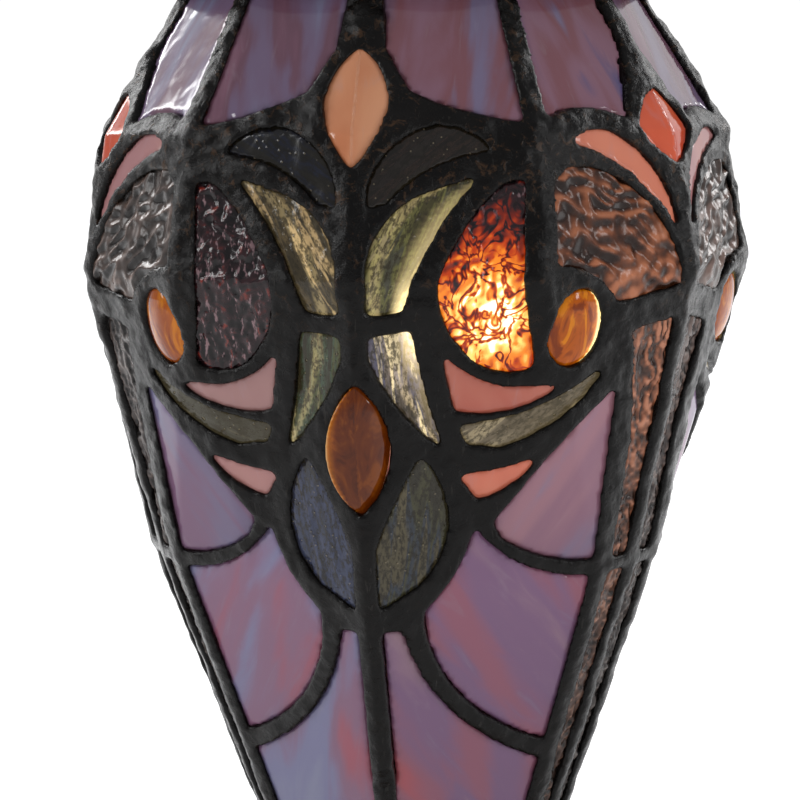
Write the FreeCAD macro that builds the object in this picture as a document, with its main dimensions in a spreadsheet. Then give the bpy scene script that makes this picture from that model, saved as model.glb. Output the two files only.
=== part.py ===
"""Stained glass table lamp: a lit glass body on a cast foot, with a vented cap and a finial.

Millimetres, +Z up, origin at the middle of the surface that the lamp stands on.
The glass body repeats three times round the axis.  Each third has a wide main face,
whose middle is at the front (-Y) of the first one, and a narrower corner face 60
degrees round from it.  Glass outlines are drawn flat on the front of a face, as seen
square on: across from the face's middle, and up from the ring where the body is widest.
"""
import FreeCAD
import Part
import Sketcher
import math
import os

from FreeCAD import Placement, Rotation, Vector

# ---------------------------------------------------------------- driving sizes

SIZES = {
    # glass body, radii of the leadwork's outside
    "ring_level": 252.0,
    "top_rise": 86.0,
    "shoulder_rise": 46.0,
    "belt_rise": 10.0,
    "waist_drop": 70.0,
    "body_drop": 180.0,
    "top_radius": 64.5,
    "shoulder_radius": 89.5,
    "belt_radius": 95.5,
    "waist_radius": 76.0,
    "bottom_radius": 36.4,
    "ridge_swell": 1.06,
    "lead_depth": 5.4,
    "lead_proud": 1.2,
    "glass_thick": 3.0,
    "glass_lap": 0.5,
    "jewel_rise": 5.0,
    # foot and what is in it
    "foot_radius": 80.0,
    "foot_top": 60.0,
    "plinth_top": 24.0,
    "neck_radius": 31.0,
    "wall": 4.0,
    "felt_thick": 1.5,
    "cup_floor": 72.0,
    "cup_radius": 46.0,
    "plate_radius": 70.0,
    "screw_circle": 66.0,
    "screw_radius": 2.0,
    "fitting_level": 14.0,
    # stem
    "pipe_radius": 5.0,
    "pipe_bore": 3.5,
    "pipe_low": 44.0,
    "pipe_high": 388.0,
    "pipe_clear": 0.05,
    "nut_radius": 9.0,
    "nut_height": 5.0,
    # cap and finial
    "cap_radius": 72.0,
    "rim_thick": 3.0,
    "body_gap": 0.3,
    "cap_height": 32.0,
    "finial_height": 40.0,
    # bulb and socket
    "bulb_offset": 22.0,
    "bulb_radius": 15.0,
    "bulb_level": 244.0,
    "socket_low": 196.0,
    "socket_radius": 9.5,
    "lead_radius": 1.3,
}

doc = FreeCAD.newDocument("lamp")
sheet = doc.addObject("Spreadsheet::Sheet", "Sizes")


def fill_sheet():
    """Put every driving size in the sheet, as a plain number with its name as alias."""
    for row, (name, number) in enumerate(SIZES.items(), start=1):
        sheet.set("A%d" % row, name)
        sheet.set("B%d" % row, str(number))
        sheet.setAlias("B%d" % row, name)
    doc.recompute()


def size(name):
    """A driving size, as the sheet holds it."""
    return float(sheet.get(name))


def value(formula):
    """What a sum of size names and numbers, such as "wall + 2", comes to."""
    total = 0.0
    sign = 1.0
    for word in str(formula).split():
        if word in ("+", "-"):
            sign = 1.0 if word == "+" else -1.0
        else:
            total += sign * (size(word) if word in SIZES else float(word))
    return total


def bound(formula):
    """The same sum as an expression that refers to the sheet's cells."""
    words = str(formula).split()
    return " ".join("Sizes." + word if word in SIZES else word for word in words)


def named(formula):
    """Whether a sum refers to the sheet at all."""
    return any(word in SIZES for word in str(formula).split())


# ---------------------------------------------------------------- sketches and turned pieces

parts = []


def keep(thing, label):
    """Give a sub-part its name and put it on the list of pieces to write."""
    thing.Label = label
    parts.append(thing)
    return thing


def origin_plane(body, role):
    return [plane for plane in body.Origin.OriginFeatures if plane.Role == role][0]


def new_sketch(body, role, name):
    sketch = body.newObject("Sketcher::SketchObject", name)
    sketch.AttachmentSupport = (origin_plane(body, role), [""])
    sketch.MapMode = "FlatFace"
    return sketch


def pin_number(sketch, constraint, formula):
    """Add a measured constraint and tie it to the sheet."""
    index = sketch.addConstraint(Sketcher.Constraint(*constraint, value(formula)))
    if named(formula):
        sketch.setExpression("Constraints[%d]" % index, bound(formula))


def bent_edge(start, end, radius):
    """Arc from start to end; a positive radius turns left on the way, a negative one right."""
    chord = end - start
    middle = (start + end) * 0.5
    reach = math.sqrt(radius * radius - chord.Length ** 2 / 4.0)
    across = Vector(-chord.y, chord.x, 0).normalize() * reach
    centre = middle + across if radius > 0 else middle - across
    first, last = (start, end) if radius > 0 else (end, start)
    angles = [math.atan2(p.y - centre.y, p.x - centre.x) for p in (first, last)]
    circle = Part.Circle(centre, Vector(0, 0, 1), abs(radius))
    return Part.ArcOfCircle(circle, angles[0], angles[1])


def draw_outline(sketch, corners):
    """Closed outline of (across, up) corners; a third number bends the edge that ends there."""
    spots = [Vector(value(corner[0]), value(corner[1]), 0) for corner in corners]
    tails = []
    heads = []
    for i, corner in enumerate(corners):
        start, end = spots[i - 1], spots[i]
        if len(corner) == 3:
            edge = sketch.addGeometry(bent_edge(start, end, corner[2]))
            heads.append((edge, 2 if corner[2] > 0 else 1))
            tails.append((edge, 1 if corner[2] > 0 else 2))
            pin_number(sketch, ("Radius", edge), abs(corner[2]))
        else:
            edge = sketch.addGeometry(Part.LineSegment(start, end))
            heads.append((edge, 2))
            tails.append((edge, 1))
    for i, corner in enumerate(corners):
        following = tails[(i + 1) % len(corners)]
        sketch.addConstraint(Sketcher.Constraint("Coincident", *heads[i], *following))
        for way, formula, axis in (("DistanceX", corner[0], -2), ("DistanceY", corner[1], -1)):
            if abs(value(formula)) < 1e-9:
                sketch.addConstraint(Sketcher.Constraint("PointOnObject", *heads[i], axis))
            else:
                pin_number(sketch, (way, -1, 1, *heads[i]), formula)


def draw_circle(sketch, across, up, radius):
    """A circle at a place given by sums of sizes."""
    centre = Vector(value(across), value(up), 0)
    circle = sketch.addGeometry(Part.Circle(centre, Vector(0, 0, 1), value(radius)))
    pin_number(sketch, ("Radius", circle), radius)
    for way, formula, axis in (("DistanceX", across, -2), ("DistanceY", up, -1)):
        if abs(value(formula)) < 1e-9:
            sketch.addConstraint(Sketcher.Constraint("PointOnObject", circle, 3, axis))
        else:
            pin_number(sketch, (way, -1, 1, circle, 3), formula)


def turned(label, corners, across="0", deep="0", up="0", turn=None):
    """A round piece: its half section turned about its own upright axis, then placed."""
    body = doc.addObject("PartDesign::Body", label)
    sketch = new_sketch(body, "XZ_Plane", label + "_section")
    draw_outline(sketch, corners)
    turning = body.newObject("PartDesign::Revolution", label + "_turning")
    turning.Profile = sketch
    turning.ReferenceAxis = (sketch, ["V_Axis"])
    turning.Angle = 360.0
    body.Placement = Placement(Vector(value(across), value(deep), value(up)), turn or Rotation())
    for way, formula in (("x", across), ("y", deep), ("z", up)):
        if named(formula):
            body.setExpression("Placement.Base." + way, bound(formula))
    doc.recompute()
    return keep(body, label)


def pocket(body, role, name, circles, reverse, depth=None):
    """Round holes in a body, from one of its origin planes outwards, to a depth or right through."""
    sketch = new_sketch(body, role, name + "_outline")
    for across, up, radius in circles:
        draw_circle(sketch, across, up, radius)
    before = body.Shape.Volume
    cut = body.newObject("PartDesign::Pocket", name)
    cut.Profile = sketch
    cut.Type = 1 if depth is None else 0
    if depth is not None:
        cut.Length = value(depth)
        cut.setExpression("Length", bound(depth))
    cut.Reversed = reverse
    doc.recompute()
    if not cut.Shape.Volume < before - 1.0:
        raise RuntimeError(name + " cuts nothing")
    return sketch, cut


def repeat(body, name, sketch, feature, count):
    """The same cut, evenly round the body's axis."""
    pattern = body.newObject("PartDesign::PolarPattern", name)
    pattern.Originals = [feature]
    pattern.Axis = (sketch, ["N_Axis"])
    pattern.Angle = 360.0
    pattern.Occurrences = count
    body.Tip = pattern
    doc.recompute()


def primitive(kind, name, sizes, at=(0, 0, 0), turn=None):
    """A Part primitive with its sizes tied to the sheet."""
    thing = doc.addObject("Part::" + kind, name)
    for prop, formula in sizes.items():
        setattr(thing, prop, value(formula))
        if named(formula):
            thing.setExpression(prop, bound(formula))
    thing.Placement = Placement(Vector(*[value(formula) for formula in at]), turn or Rotation())
    for way, formula in zip("xyz", at):
        if named(formula):
            thing.setExpression("Placement.Base." + way, bound(formula))
    return thing


def joined(name, things):
    """Several primitives as one Part::MultiFuse."""
    fuse = doc.addObject("Part::MultiFuse", name)
    fuse.Shapes = things
    return fuse


def minus(name, base, tool):
    """One piece cut from another."""
    cut = doc.addObject("Part::Cut", name)
    cut.Base = base
    cut.Tool = tool
    return cut


# ---------------------------------------------------------------- the body's faceted surface

COLUMN_ANGLES = (0.0, 30.0, 50.0, 60.0)


def on_chord(first, last, angle):
    """Where a ray from the axis at an angle crosses the straight line between two points."""
    ray = Vector(math.sin(math.radians(angle)), -math.cos(math.radians(angle)), 0)
    side = last - first
    scale = (first.x * side.y - first.y * side.x) / (ray.x * side.y - ray.y * side.x)
    return ray * scale


def at_angle(angle, radius=1.0):
    return Vector(math.sin(math.radians(angle)) * radius, -math.cos(math.radians(angle)) * radius, 0)


def twelve_sided():
    """Half of one third of the upper body: corners every 30 degrees."""
    ridge, corner, middle = at_angle(0), at_angle(30), at_angle(60)
    return (ridge, corner, on_chord(corner, middle, COLUMN_ANGLES[2]), middle)


def ridged():
    """Half of one third of the lower body: flat from the front ridge to the corner strip."""
    ridge, edge, middle = at_angle(0, size("ridge_swell")), at_angle(COLUMN_ANGLES[2]), at_angle(60)
    return (ridge, on_chord(ridge, edge, COLUMN_ANGLES[1]), edge, middle)


def body_levels():
    """Height above the ring, outside radius and section, from the top down."""
    return [
        (size("top_rise"), size("top_radius"), twelve_sided()),
        (size("shoulder_rise"), size("shoulder_radius"), twelve_sided()),
        (size("belt_rise"), size("belt_radius"), twelve_sided()),
        (-size("waist_drop"), size("waist_radius"), ridged()),
        (-size("body_drop"), size("bottom_radius"), ridged()),
    ]


def surface_point(level, column, inset):
    rise, radius, section = level
    spot = section[column] * (radius - inset)
    return Vector(spot.x, spot.y, rise + size("ring_level"))


def flat_faces(quad):
    """A face on four points, or two triangles where they aren't in one plane."""
    a, b, c, d = quad
    normal = (b - a).cross(c - a).normalize()
    if abs(normal.dot(d - a)) < 1e-6:
        return [Part.Face(Part.makePolygon([a, b, c, d, a]))]
    return [Part.Face(Part.makePolygon([a, b, c, a])), Part.Face(Part.makePolygon([a, c, d, a]))]


def wall_cell(upper, lower, column, outer, inner):
    """One block of the wall, between two levels and two columns."""
    corner = {}
    for up, level in ((1, upper), (0, lower)):
        for side in (0, 1):
            for deep, inset in ((0, outer), (1, inner)):
                corner[up, side, deep] = surface_point(level, column + side, inset)
    quads = []
    for deep in (0, 1):
        quads.append([corner[1, 0, deep], corner[1, 1, deep], corner[0, 1, deep], corner[0, 0, deep]])
    for side in (0, 1):
        quads.append([corner[1, side, 0], corner[1, side, 1], corner[0, side, 1], corner[0, side, 0]])
    for up in (0, 1):
        quads.append([corner[up, 0, 0], corner[up, 1, 0], corner[up, 1, 1], corner[up, 0, 1]])
    faces = [face for quad in quads for face in flat_faces(quad)]
    solid = Part.Solid(Part.Shell(faces))
    if solid.Volume < 0:
        solid.reverse()
    return solid


def wall_blocks(tier, columns, outer, inner):
    """The wall's blocks in one tier, joined over the columns that are named."""
    levels = body_levels()
    cells = [wall_cell(levels[tier], levels[tier + 1], column, outer, inner) for column in columns]
    if len(cells) == 1:
        return cells[0]
    return cells[0].multiFuse(cells[1:]).removeSplitter()


# ---------------------------------------------------------------- glass outlines

# Each outline starts at its first point; (x, y) is a straight side to that point,
# (x, y, via_x, via_y) is an arc to (x, y) through the other point.  Half of a face only:
# x is the distance from the middle of the face.
MAIN_FACE = {
    "shoulder_glass": [(4.5, 83), (31.3, 83), (41, 48.5), (13, 56.5, 27, 51.5), (6.5, 67)],
    "brow_glass": [(3.8, 28), (20.5, 48, 8, 41), (34, 41.5, 28, 46.3), (8.5, 29, 19, 37.5)],
    "upper_leaf": [(3.6, 1.6), (4, 13), (17, 31, 8, 24), (31, 35.5), (12.3, 2.4, 20, 21)],
    "eye_glass": [(42, 34.5), (42, 4), (43.5, -12), (25.5, -6.5, 33, -12.8), (24.2, 16.5, 21.2, 5.5),
                  (37, 33.6, 29.5, 25.5)],
    "lower_leaf": [(3.5, -4), (14, -2.6), (20, -33.5, 16, -17), (3.5, -9.5, 9.3, -21)],
    "bowl_glass": [(14.5, -35.5), (13, -70, 20.5, -53), (3, -76.5), (3, -60), (14.5, -35.5, 8, -48)],
    "upper_wedge": [(21, -8), (38, -17.8, 28.5, -14.8), (50, -17.4), (23.5, -23.6, 37, -23.4)],
    "cheek_glass": [(24, -27.5), (61, -12.8, 44, -23), (34, -33.4, 49.5, -25.8), (26, -32.6)],
    "lower_wedge": [(23.5, -41), (43.4, -36.6, 34.3, -39.3), (27.6, -47.6, 37.2, -43)],
    "upper_side_glass": [(62.6, -19.4), (56, -66.6), (33.5, -58.6, 44, -64.6), (31.6, -54.5),
                         (62.6, -19.4, 46, -37)],
    "middle_side_glass": [(27, -55.6), (55, -71.2, 39, -67), (41.6, -119.6), (13.6, -78, 23.5, -106.5),
                          (27, -55.6, 21.5, -68)],
    "bottom_glass": [(3.2, -82.5), (8, -83), (39.6, -125.6, 17.3, -106.5), (25.8, -175), (3, -175)],
}

CORNER_FACE = {
    "corner_shoulder_glass": [(3.5, 83), (28.4, 83), (39, 49.5), (13.5, 49, 26.5, 52), (3.5, 68)],
    "pink_crescent": [(3, 19), (21, 45.6, 8.2, 35.8), (34.5, 43.5, 29, 46), (3, 19, 16, 35)],
    "fan_glass": [(3.6, 6.4), (29, 36.8, 13.4, 28.6), (37, 36.8), (41, 33.5), (43.2, 13.2),
                  (23.5, 3, 31, 9.6)],
    "upper_strip_glass": [(3, -2.5), (17, -5), (9.8, -45, 11.8, -25), (9, -66.8), (3, -66.8)],
    "lower_strip_glass": [(2.4, -71.2), (9.2, -71.2), (3.6, -172), (2, -172)],
}

CROWN_DIAMOND = [(0, 37.8), (8, 54, 5.4, 45), (0, 67.5, 5.2, 62)]
RED_DIAMOND = [(0, 37.6), (11, 46.6, 6.8, 41), (0, 57, 6, 53.4)]
CENTRE_JEWEL = [(0, -50.4), (0, -15.6, 7.6, -33)]
CORNER_JEWEL = (35.3, -3.0, 8.0, 10.0)


def flat_wire(points, sign, ring):
    """A closed wire in the plane of across (X) and up (Z)."""
    def spot(x, y):
        return Vector(sign * x, 0, y + ring)
    edges = []
    start = spot(*points[0][:2])
    for point in points[1:]:
        end = spot(*point[:2])
        if len(point) == 4:
            edges.append(Part.Arc(start, spot(*point[2:]), end).toShape())
        else:
            edges.append(Part.LineSegment(start, end).toShape())
        start = end
    first = spot(*points[0][:2])
    if (start - first).Length > 1e-6:
        edges.append(Part.LineSegment(start, first).toShape())
    return Part.Wire(Part.__sortEdges__(edges))


def outline_prism(points, sign, angle, grow=0.0):
    """The outline pushed out from the axis, square to its own face."""
    face = Part.Face(flat_wire(points, sign, size("ring_level")))
    if grow:
        face = face.makeOffset2D(grow, 0)
        if face.ShapeType != "Face":
            face = face.Faces[0]
    prism = face.extrude(Vector(0, -size("belt_radius") * 1.3, 0))
    prism.rotate(Vector(), Vector(0, 0, 1), angle)
    return prism


def oval_prism(across, up, wide, tall, angle, grow=0.0):
    """The same for an oval."""
    ellipse = Part.Ellipse(Vector(), tall + grow, wide + grow).toShape()
    face = Part.Face(Part.Wire(ellipse))
    face.rotate(Vector(), Vector(0, 0, 1), 90)
    face.rotate(Vector(), Vector(1, 0, 0), 90)
    face.translate(Vector(across, 0, up + size("ring_level")))
    prism = face.extrude(Vector(0, -size("belt_radius") * 1.3, 0))
    prism.rotate(Vector(), Vector(0, 0, 1), angle)
    return prism


def mirrored(shape):
    """The same piece on the other side of the front ridge."""
    return shape.mirror(Vector(), Vector(1, 0, 0))


def turned_copies(shapes):
    """Every shape, three times round the axis."""
    copies = []
    for shape in shapes:
        for step in range(3):
            copy = shape.copy()
            copy.rotate(Vector(), Vector(0, 0, 1), 120 * step)
            copies.append(copy)
    return copies


def solids_of(shape):
    """A shape's solids, without dust."""
    return [solid for solid in shape.Solids if solid.Volume > 0.5]


def group(label, solids):
    """A node that holds identical pieces as separate solids."""
    feature = doc.addObject("Part::Feature", label)
    feature.Shape = Part.makeCompound(solids)
    feature.Placement = Placement()
    return keep(feature, label)


# ---------------------------------------------------------------- glass and leadwork

def glass_wall():
    """The layer of the wall that the glass is cut from, in one sixth of the body."""
    outer = size("lead_proud")
    inner = outer + size("glass_thick")
    blocks = [wall_blocks(tier, (0, 1, 2), outer, inner) for tier in range(4)]
    return blocks[0].multiFuse(blocks[1:])


def wall_spot(across, up, angle):
    """The point of the wall's outside in front of a spot on a face, and the way out there."""
    height = up + size("ring_level")
    turn = Rotation(Vector(0, 0, 1), angle)
    start = turn.multVec(Vector(across, 0, height))
    along = turn.multVec(Vector(0, -1, 0))
    levels = body_levels()
    for tier in range(4):
        for column in range(3):
            ends = [(levels[tier], column), (levels[tier], column + 1),
                    (levels[tier + 1], column + 1), (levels[tier + 1], column)]
            for face in flat_faces([surface_point(level, side, 0.0) for level, side in ends]):
                normal = face.normalAt(0, 0)
                travel = (face.CenterOfMass - start).dot(normal) / along.dot(normal)
                spot = start + along * travel
                if face.isInside(spot, 0.01, True):
                    return spot, normal if normal.dot(along) > 0 else normal * -1
    raise RuntimeError("a jewel is off the wall")


def cabochon(across, up, wide, tall, angle, prism):
    """A jewel with a flat back: its prism under a rounded dome that lies along the wall."""
    spot, out = wall_spot(across, up, angle)
    dome = Part.makeSphere(1.0, Vector(), Vector(0, -1, 0), 0, 90, 360)
    stretch = FreeCAD.Matrix()
    stretch.scale(Vector(wide, size("jewel_rise"), tall))
    dome = dome.transformGeometry(stretch)
    upward = (Vector(0, 0, 1) - out * out.z).normalize()
    sideways = (out * -1).cross(upward)
    frame = FreeCAD.Matrix(sideways.x, -out.x, upward.x, 0, sideways.y, -out.y, upward.y, 0,
                           sideways.z, -out.z, upward.z, 0, 0, 0, 0, 1)
    foot = spot - out * (size("lead_proud") + size("glass_thick"))
    dome.transformShape(Placement(foot, Placement(frame).Rotation).Matrix)
    return dome.common(prism)


def cut_glass(wall):
    """Every glass piece of one sixth of the body, and the windows they show through."""
    lap = size("glass_lap")
    pieces = {}
    windows = []
    outlines = [(label, outline, 1, 0) for label, outline in MAIN_FACE.items()]
    outlines += [(label, outline, -1, 60) for label, outline in CORNER_FACE.items()]
    outlines.append(("crown_diamond", CROWN_DIAMOND, 1, 0))
    outlines.append(("red_diamond", RED_DIAMOND, -1, 60))
    for label, outline, sign, angle in outlines:
        windows.append(outline_prism(outline, sign, angle))
        pieces[label] = outline_prism(outline, sign, angle, lap).common(wall).Solids[0]
    return pieces, windows


def cut_jewels():
    """The two sorts of jewel, and the holes they fill exactly."""
    across, up, wide, tall = CORNER_JEWEL
    corner_hole = oval_prism(-across, up, wide, tall, 60)
    corner = cabochon(-across, up, wide * 1.3, tall * 1.3, 60, corner_hole)
    centre_hole = outline_prism(CENTRE_JEWEL, 1, 0)
    middle = (CENTRE_JEWEL[0][1] + CENTRE_JEWEL[1][1]) / 2
    half_wide = CENTRE_JEWEL[1][2]
    half_tall = CENTRE_JEWEL[1][1] - middle
    whole_hole = centre_hole.fuse(mirrored(centre_hole)).removeSplitter()
    centre = cabochon(0, middle, half_wide * 1.35, half_tall * 1.15, 0, whole_hole)
    return centre, corner, [centre_hole, corner_hole]


def leadwork(tier, columns, cutters):
    """The metal between the glass in one block of one sixth of the body."""
    block = wall_blocks(tier, columns, 0.0, size("lead_depth"))
    reach = [tool for tool in cutters if block.BoundBox.intersect(tool.BoundBox)]
    return solids_of(block.cut(reach))


def six_fold(solids):
    """Both halves of all three faces."""
    return turned_copies(solids + [mirrored(solid) for solid in solids])


def make_body_glass():
    """The whole glass body: its glass, its jewels and the leadwork that holds them."""
    pieces, windows = cut_glass(glass_wall())
    centre_jewel, corner_jewel, holes = cut_jewels()
    cutters = windows + holes + list(pieces.values()) + [centre_jewel, corner_jewel]
    for label, solid in pieces.items():
        if label == "crown_diamond":
            whole = solid.fuse(mirrored(solid))
            group(label, turned_copies([whole.removeSplitter().Solids[0]]))
        elif label == "red_diamond":
            other = mirrored(solid)
            other.rotate(Vector(), Vector(0, 0, 1), 120)
            group(label, turned_copies([solid.fuse(other).removeSplitter().Solids[0]]))
        else:
            group(label, six_fold([solid]))
    group("centre_jewel", turned_copies(solids_of(centre_jewel)))
    group("corner_jewel", six_fold(solids_of(corner_jewel)))
    for tier, label, blocks in (
        (0, "shoulder_leadwork", ((0,), (1, 2))),
        (1, "belt_leadwork", ((0,), (1, 2))),
        (2, "waist_leadwork", ((0,), (1,), (2,))),
        (3, "lower_leadwork", ((0, 1), (2,))),
    ):
        solids = []
        for columns in blocks:
            solids += leadwork(tier, columns, cutters)
        group(label, six_fold(solids))


# ---------------------------------------------------------------- foot and stem

TO_RIGHT = Rotation(Vector(0, 1, 0), 90)
TO_REAR = Rotation(Vector(1, 0, 0), -90)


def make_foot():
    """Hollow cast foot on its plinth ring, with the cover plate, screws and felt ring."""
    turned("foot", [
        ("pipe_radius + pipe_clear", "foot_top"),
        ("pipe_radius + pipe_clear", "foot_top - 6"),
        ("neck_radius - 5", "foot_top - 6"),
        ("neck_radius - 5", "foot_top - 14"),
        ("foot_radius - 14", "plinth_top - 3", 60),
        ("foot_radius - wall", "plinth_top - wall"),
        ("foot_radius", "plinth_top - wall"),
        ("foot_radius", "plinth_top - 1.5"),
        ("foot_radius - 1.5", "plinth_top", 1.5),
        ("foot_radius - 8", "plinth_top + 1"),
        ("foot_radius - 12", "plinth_top + 4.5", -4),
        ("neck_radius", "foot_top - 12", -62),
        ("neck_radius + 4", "foot_top - 9", -3.2),
        ("neck_radius + 4", "foot_top"),
    ])
    plinth = turned("plinth", [
        ("foot_radius - wall", "plinth_top - wall"),
        ("foot_radius - wall", "felt_thick + 5.5"),
        ("plate_radius - 9", "felt_thick + 5.5"),
        ("plate_radius - 9", "felt_thick + 2.2"),
        ("plate_radius + 0.2", "felt_thick + 2.2"),
        ("plate_radius + 0.2", "felt_thick"),
        ("foot_radius - 1", "felt_thick"),
        ("foot_radius", "felt_thick + 1"),
        ("foot_radius", "plinth_top - wall"),
    ])
    pocket(plinth, "XZ_Plane", "inlet_hole", [("0", "fitting_level", "4.5")], False)
    pocket(plinth, "YZ_Plane", "switch_hole", [("0", "fitting_level", "3.5")], True)
    ledge = pocket(plinth, "XY_Plane", "ledge_hole", [("screw_circle", "0", "screw_radius")],
                   True, "felt_thick + 6")
    repeat(plinth, "ledge_holes", *ledge, 3)
    plate = turned("base_plate", [
        ("0", "felt_thick + 2.2"),
        ("0", "felt_thick + 0.2"),
        ("plate_radius", "felt_thick + 0.2"),
        ("plate_radius", "felt_thick + 2.2"),
    ])
    hole = pocket(plate, "XY_Plane", "plate_hole", [("screw_circle", "0", "screw_radius")], True)
    repeat(plate, "plate_holes", *hole, 3)
    turned("felt_ring", [
        ("plate_radius + 1", "felt_thick"),
        ("plate_radius + 1", "0"),
        ("foot_radius - 1", "0"),
        ("foot_radius - 1", "felt_thick"),
    ])
    make_base_screws()


def make_base_screws():
    """Three round-headed screws that hold the cover plate to the foot's inner ledge."""
    screws = []
    for turn in range(3):
        angle = math.radians(120 * turn)
        across = size("screw_circle") * math.cos(angle)
        deep = size("screw_circle") * math.sin(angle)
        head = primitive("Cylinder", "screw_head", {"Radius": "screw_radius + 1.6", "Height": "1.4"},
                         (across, deep, "felt_thick - 1.2"))
        shank = primitive("Cylinder", "screw_shank", {"Radius": "screw_radius - 0.05", "Height": "5"},
                          (across, deep, "felt_thick + 0.2"))
        screws.append(joined("screw", [head, shank]))
    keep(joined("base_screw_set", screws), "base_screws")


def make_cup():
    """The cup that stands on the foot and takes the glass body's lower end."""
    turned("cup", [
        ("pipe_radius + pipe_clear", "cup_floor"),
        ("pipe_radius + pipe_clear", "foot_top"),
        ("neck_radius + 3", "foot_top"),
        ("cup_radius - 5", "foot_top + 3", 12),
        ("cup_radius - 2", "foot_top + 9", 14),
        ("cup_radius", "cup_floor + 3"),
        ("cup_radius", "cup_floor + 7"),
        ("cup_radius - 1", "cup_floor + 8"),
        ("cup_radius - 2.4", "cup_floor + 8"),
        ("bottom_radius + 3.2", "cup_floor"),
    ])


def hexagon_nut(label, low, bore, radius, height, at=("0", "0"), turn=None):
    """A six-sided nut: a prism with a round bore."""
    place = (at[0], at[1], low) if turn is None else at
    blank = primitive("Prism", label + "_blank", {"Circumradius": radius, "Height": height}, place, turn)
    hole = primitive("Cylinder", label + "_bore", {"Radius": bore, "Height": height}, place, turn)
    return keep(minus(label, blank, hole), label)


def make_stem():
    """The threaded pipe that clamps foot, cup and cap together, and its nuts."""
    tube = turned("pipe_tube", [
        ("pipe_radius", "pipe_high"),
        ("pipe_bore", "pipe_high"),
        ("pipe_bore", "pipe_low"),
        ("pipe_radius", "pipe_low"),
    ])
    parts.remove(tube)
    window = primitive("Box", "pipe_window", {"Length": "10", "Width": "4", "Height": "20"},
                       ("0", "-2", "socket_low - 43"))
    keep(minus("pipe", tube, window), "lamp_pipe")
    turned("stem_washer", [
        ("pipe_radius + pipe_clear", "foot_top - 6"),
        ("pipe_radius + pipe_clear", "foot_top - 7.5"),
        ("nut_radius + 4", "foot_top - 7.5"),
        ("nut_radius + 4", "foot_top - 6"),
    ])
    hexagon_nut("foot_nut", "foot_top - 7.5 - nut_height", "pipe_radius + pipe_clear",
                "nut_radius", "nut_height")
    hexagon_nut("cup_nut", "cup_floor", "pipe_radius + pipe_clear", "nut_radius", "nut_height")


# ---------------------------------------------------------------- wiring and switch

def make_inlet():
    """The bushing and nut in the rear of the foot, where a supply lead would come in."""
    turned("inlet_bushing", [
        ("3.2", "foot_radius + 3"),
        ("3.2", "foot_radius - 11"),
        ("4.4", "foot_radius - 11"),
        ("4.4", "foot_radius + 0.1"),
        ("6.8", "foot_radius + 0.1"),
        ("6.8", "foot_radius + 2"),
        ("5.6", "foot_radius + 3"),
    ], up="fitting_level", turn=TO_REAR)
    hexagon_nut("inlet_nut", None, "4.45", "7", "3", ("0", "foot_radius - 7.8", "fitting_level"), TO_REAR)


def make_switch():
    """A rotary switch in the side of the foot: body, nut, spindle and knob."""
    turned("switch_body", [
        ("1.9", "foot_radius + 4.4"),
        ("1.9", "foot_radius - 20"),
        ("0", "foot_radius - 20"),
        ("0", "foot_radius - 26"),
        ("6.3", "foot_radius - 26"),
        ("6.3", "foot_radius - 4.8"),
        ("3.4", "foot_radius - 4.8"),
        ("3.4", "foot_radius + 4.4"),
    ], up="fitting_level", turn=TO_RIGHT)
    hexagon_nut("switch_nut", None, "3.45", "6", "2.6", ("foot_radius + 0.1", "0", "fitting_level"), TO_RIGHT)
    turned("switch_spindle", [
        ("0", "foot_radius + 10"),
        ("0", "foot_radius - 19.5"),
        ("1.8", "foot_radius - 19.5"),
        ("1.8", "foot_radius + 10"),
    ], up="fitting_level", turn=TO_RIGHT)
    knob = turned("knob_blank", [
        ("0", "foot_radius + 14"),
        ("0", "foot_radius + 10"),
        ("1.8", "foot_radius + 10"),
        ("1.8", "foot_radius + 4.9"),
        ("7.6", "foot_radius + 4.9"),
        ("7.6", "foot_radius + 11"),
        ("5.6", "foot_radius + 14", 3.2),
    ], up="fitting_level", turn=TO_RIGHT)
    parts.remove(knob)
    grooves = []
    for step in range(12):
        angle = math.radians(30 * step)
        grooves.append(primitive("Cylinder", "knob_groove", {"Radius": "0.7", "Height": "20"},
                                 ("foot_radius + 6.4", 7.9 * math.cos(angle),
                                  size("fitting_level") + 7.9 * math.sin(angle)), TO_RIGHT))
    keep(minus("knob", knob, joined("knob_grooves", grooves)), "switch_knob")


def lead(label, route):
    """An insulated lead: straight runs joined by arcs that use 0.45 of the shorter run."""
    radius = size("lead_radius")
    spots = [Vector(*[value(number) for number in spot]) for spot in route]
    edges = []
    last = spots[0]
    length = 0.0
    for before, corner, after in zip(spots, spots[1:], spots[2:]):
        back = before - corner
        ahead = after - corner
        reach = 0.45 * min(back.Length, ahead.Length)
        start = corner + back.normalize() * reach
        end = corner + ahead.normalize() * reach
        turn = math.pi - back.getAngle(ahead)
        bend = reach / math.tan(turn / 2)
        inward = ((start + end) * 0.5 - corner).normalize()
        centre = corner + inward * math.hypot(bend, reach)
        edges.append(Part.LineSegment(last, start).toShape())
        edges.append(Part.Arc(start, centre - inward * bend, end).toShape())
        length += (start - last).Length + bend * turn
        last = end
        print(label, "bend radius %.1f" % bend)
    edges.append(Part.LineSegment(last, spots[-1]).toShape())
    length += (spots[-1] - last).Length
    section = Part.Wire(Part.Circle(spots[0], spots[1] - spots[0], radius).toShape())
    tube = Part.Wire(edges).makePipeShell([section], True, True)
    if abs(tube.Volume / (math.pi * radius ** 2 * length) - 1) > 0.01:
        raise RuntimeError(label + " has the wrong volume")
    return group(label, [tube])


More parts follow.
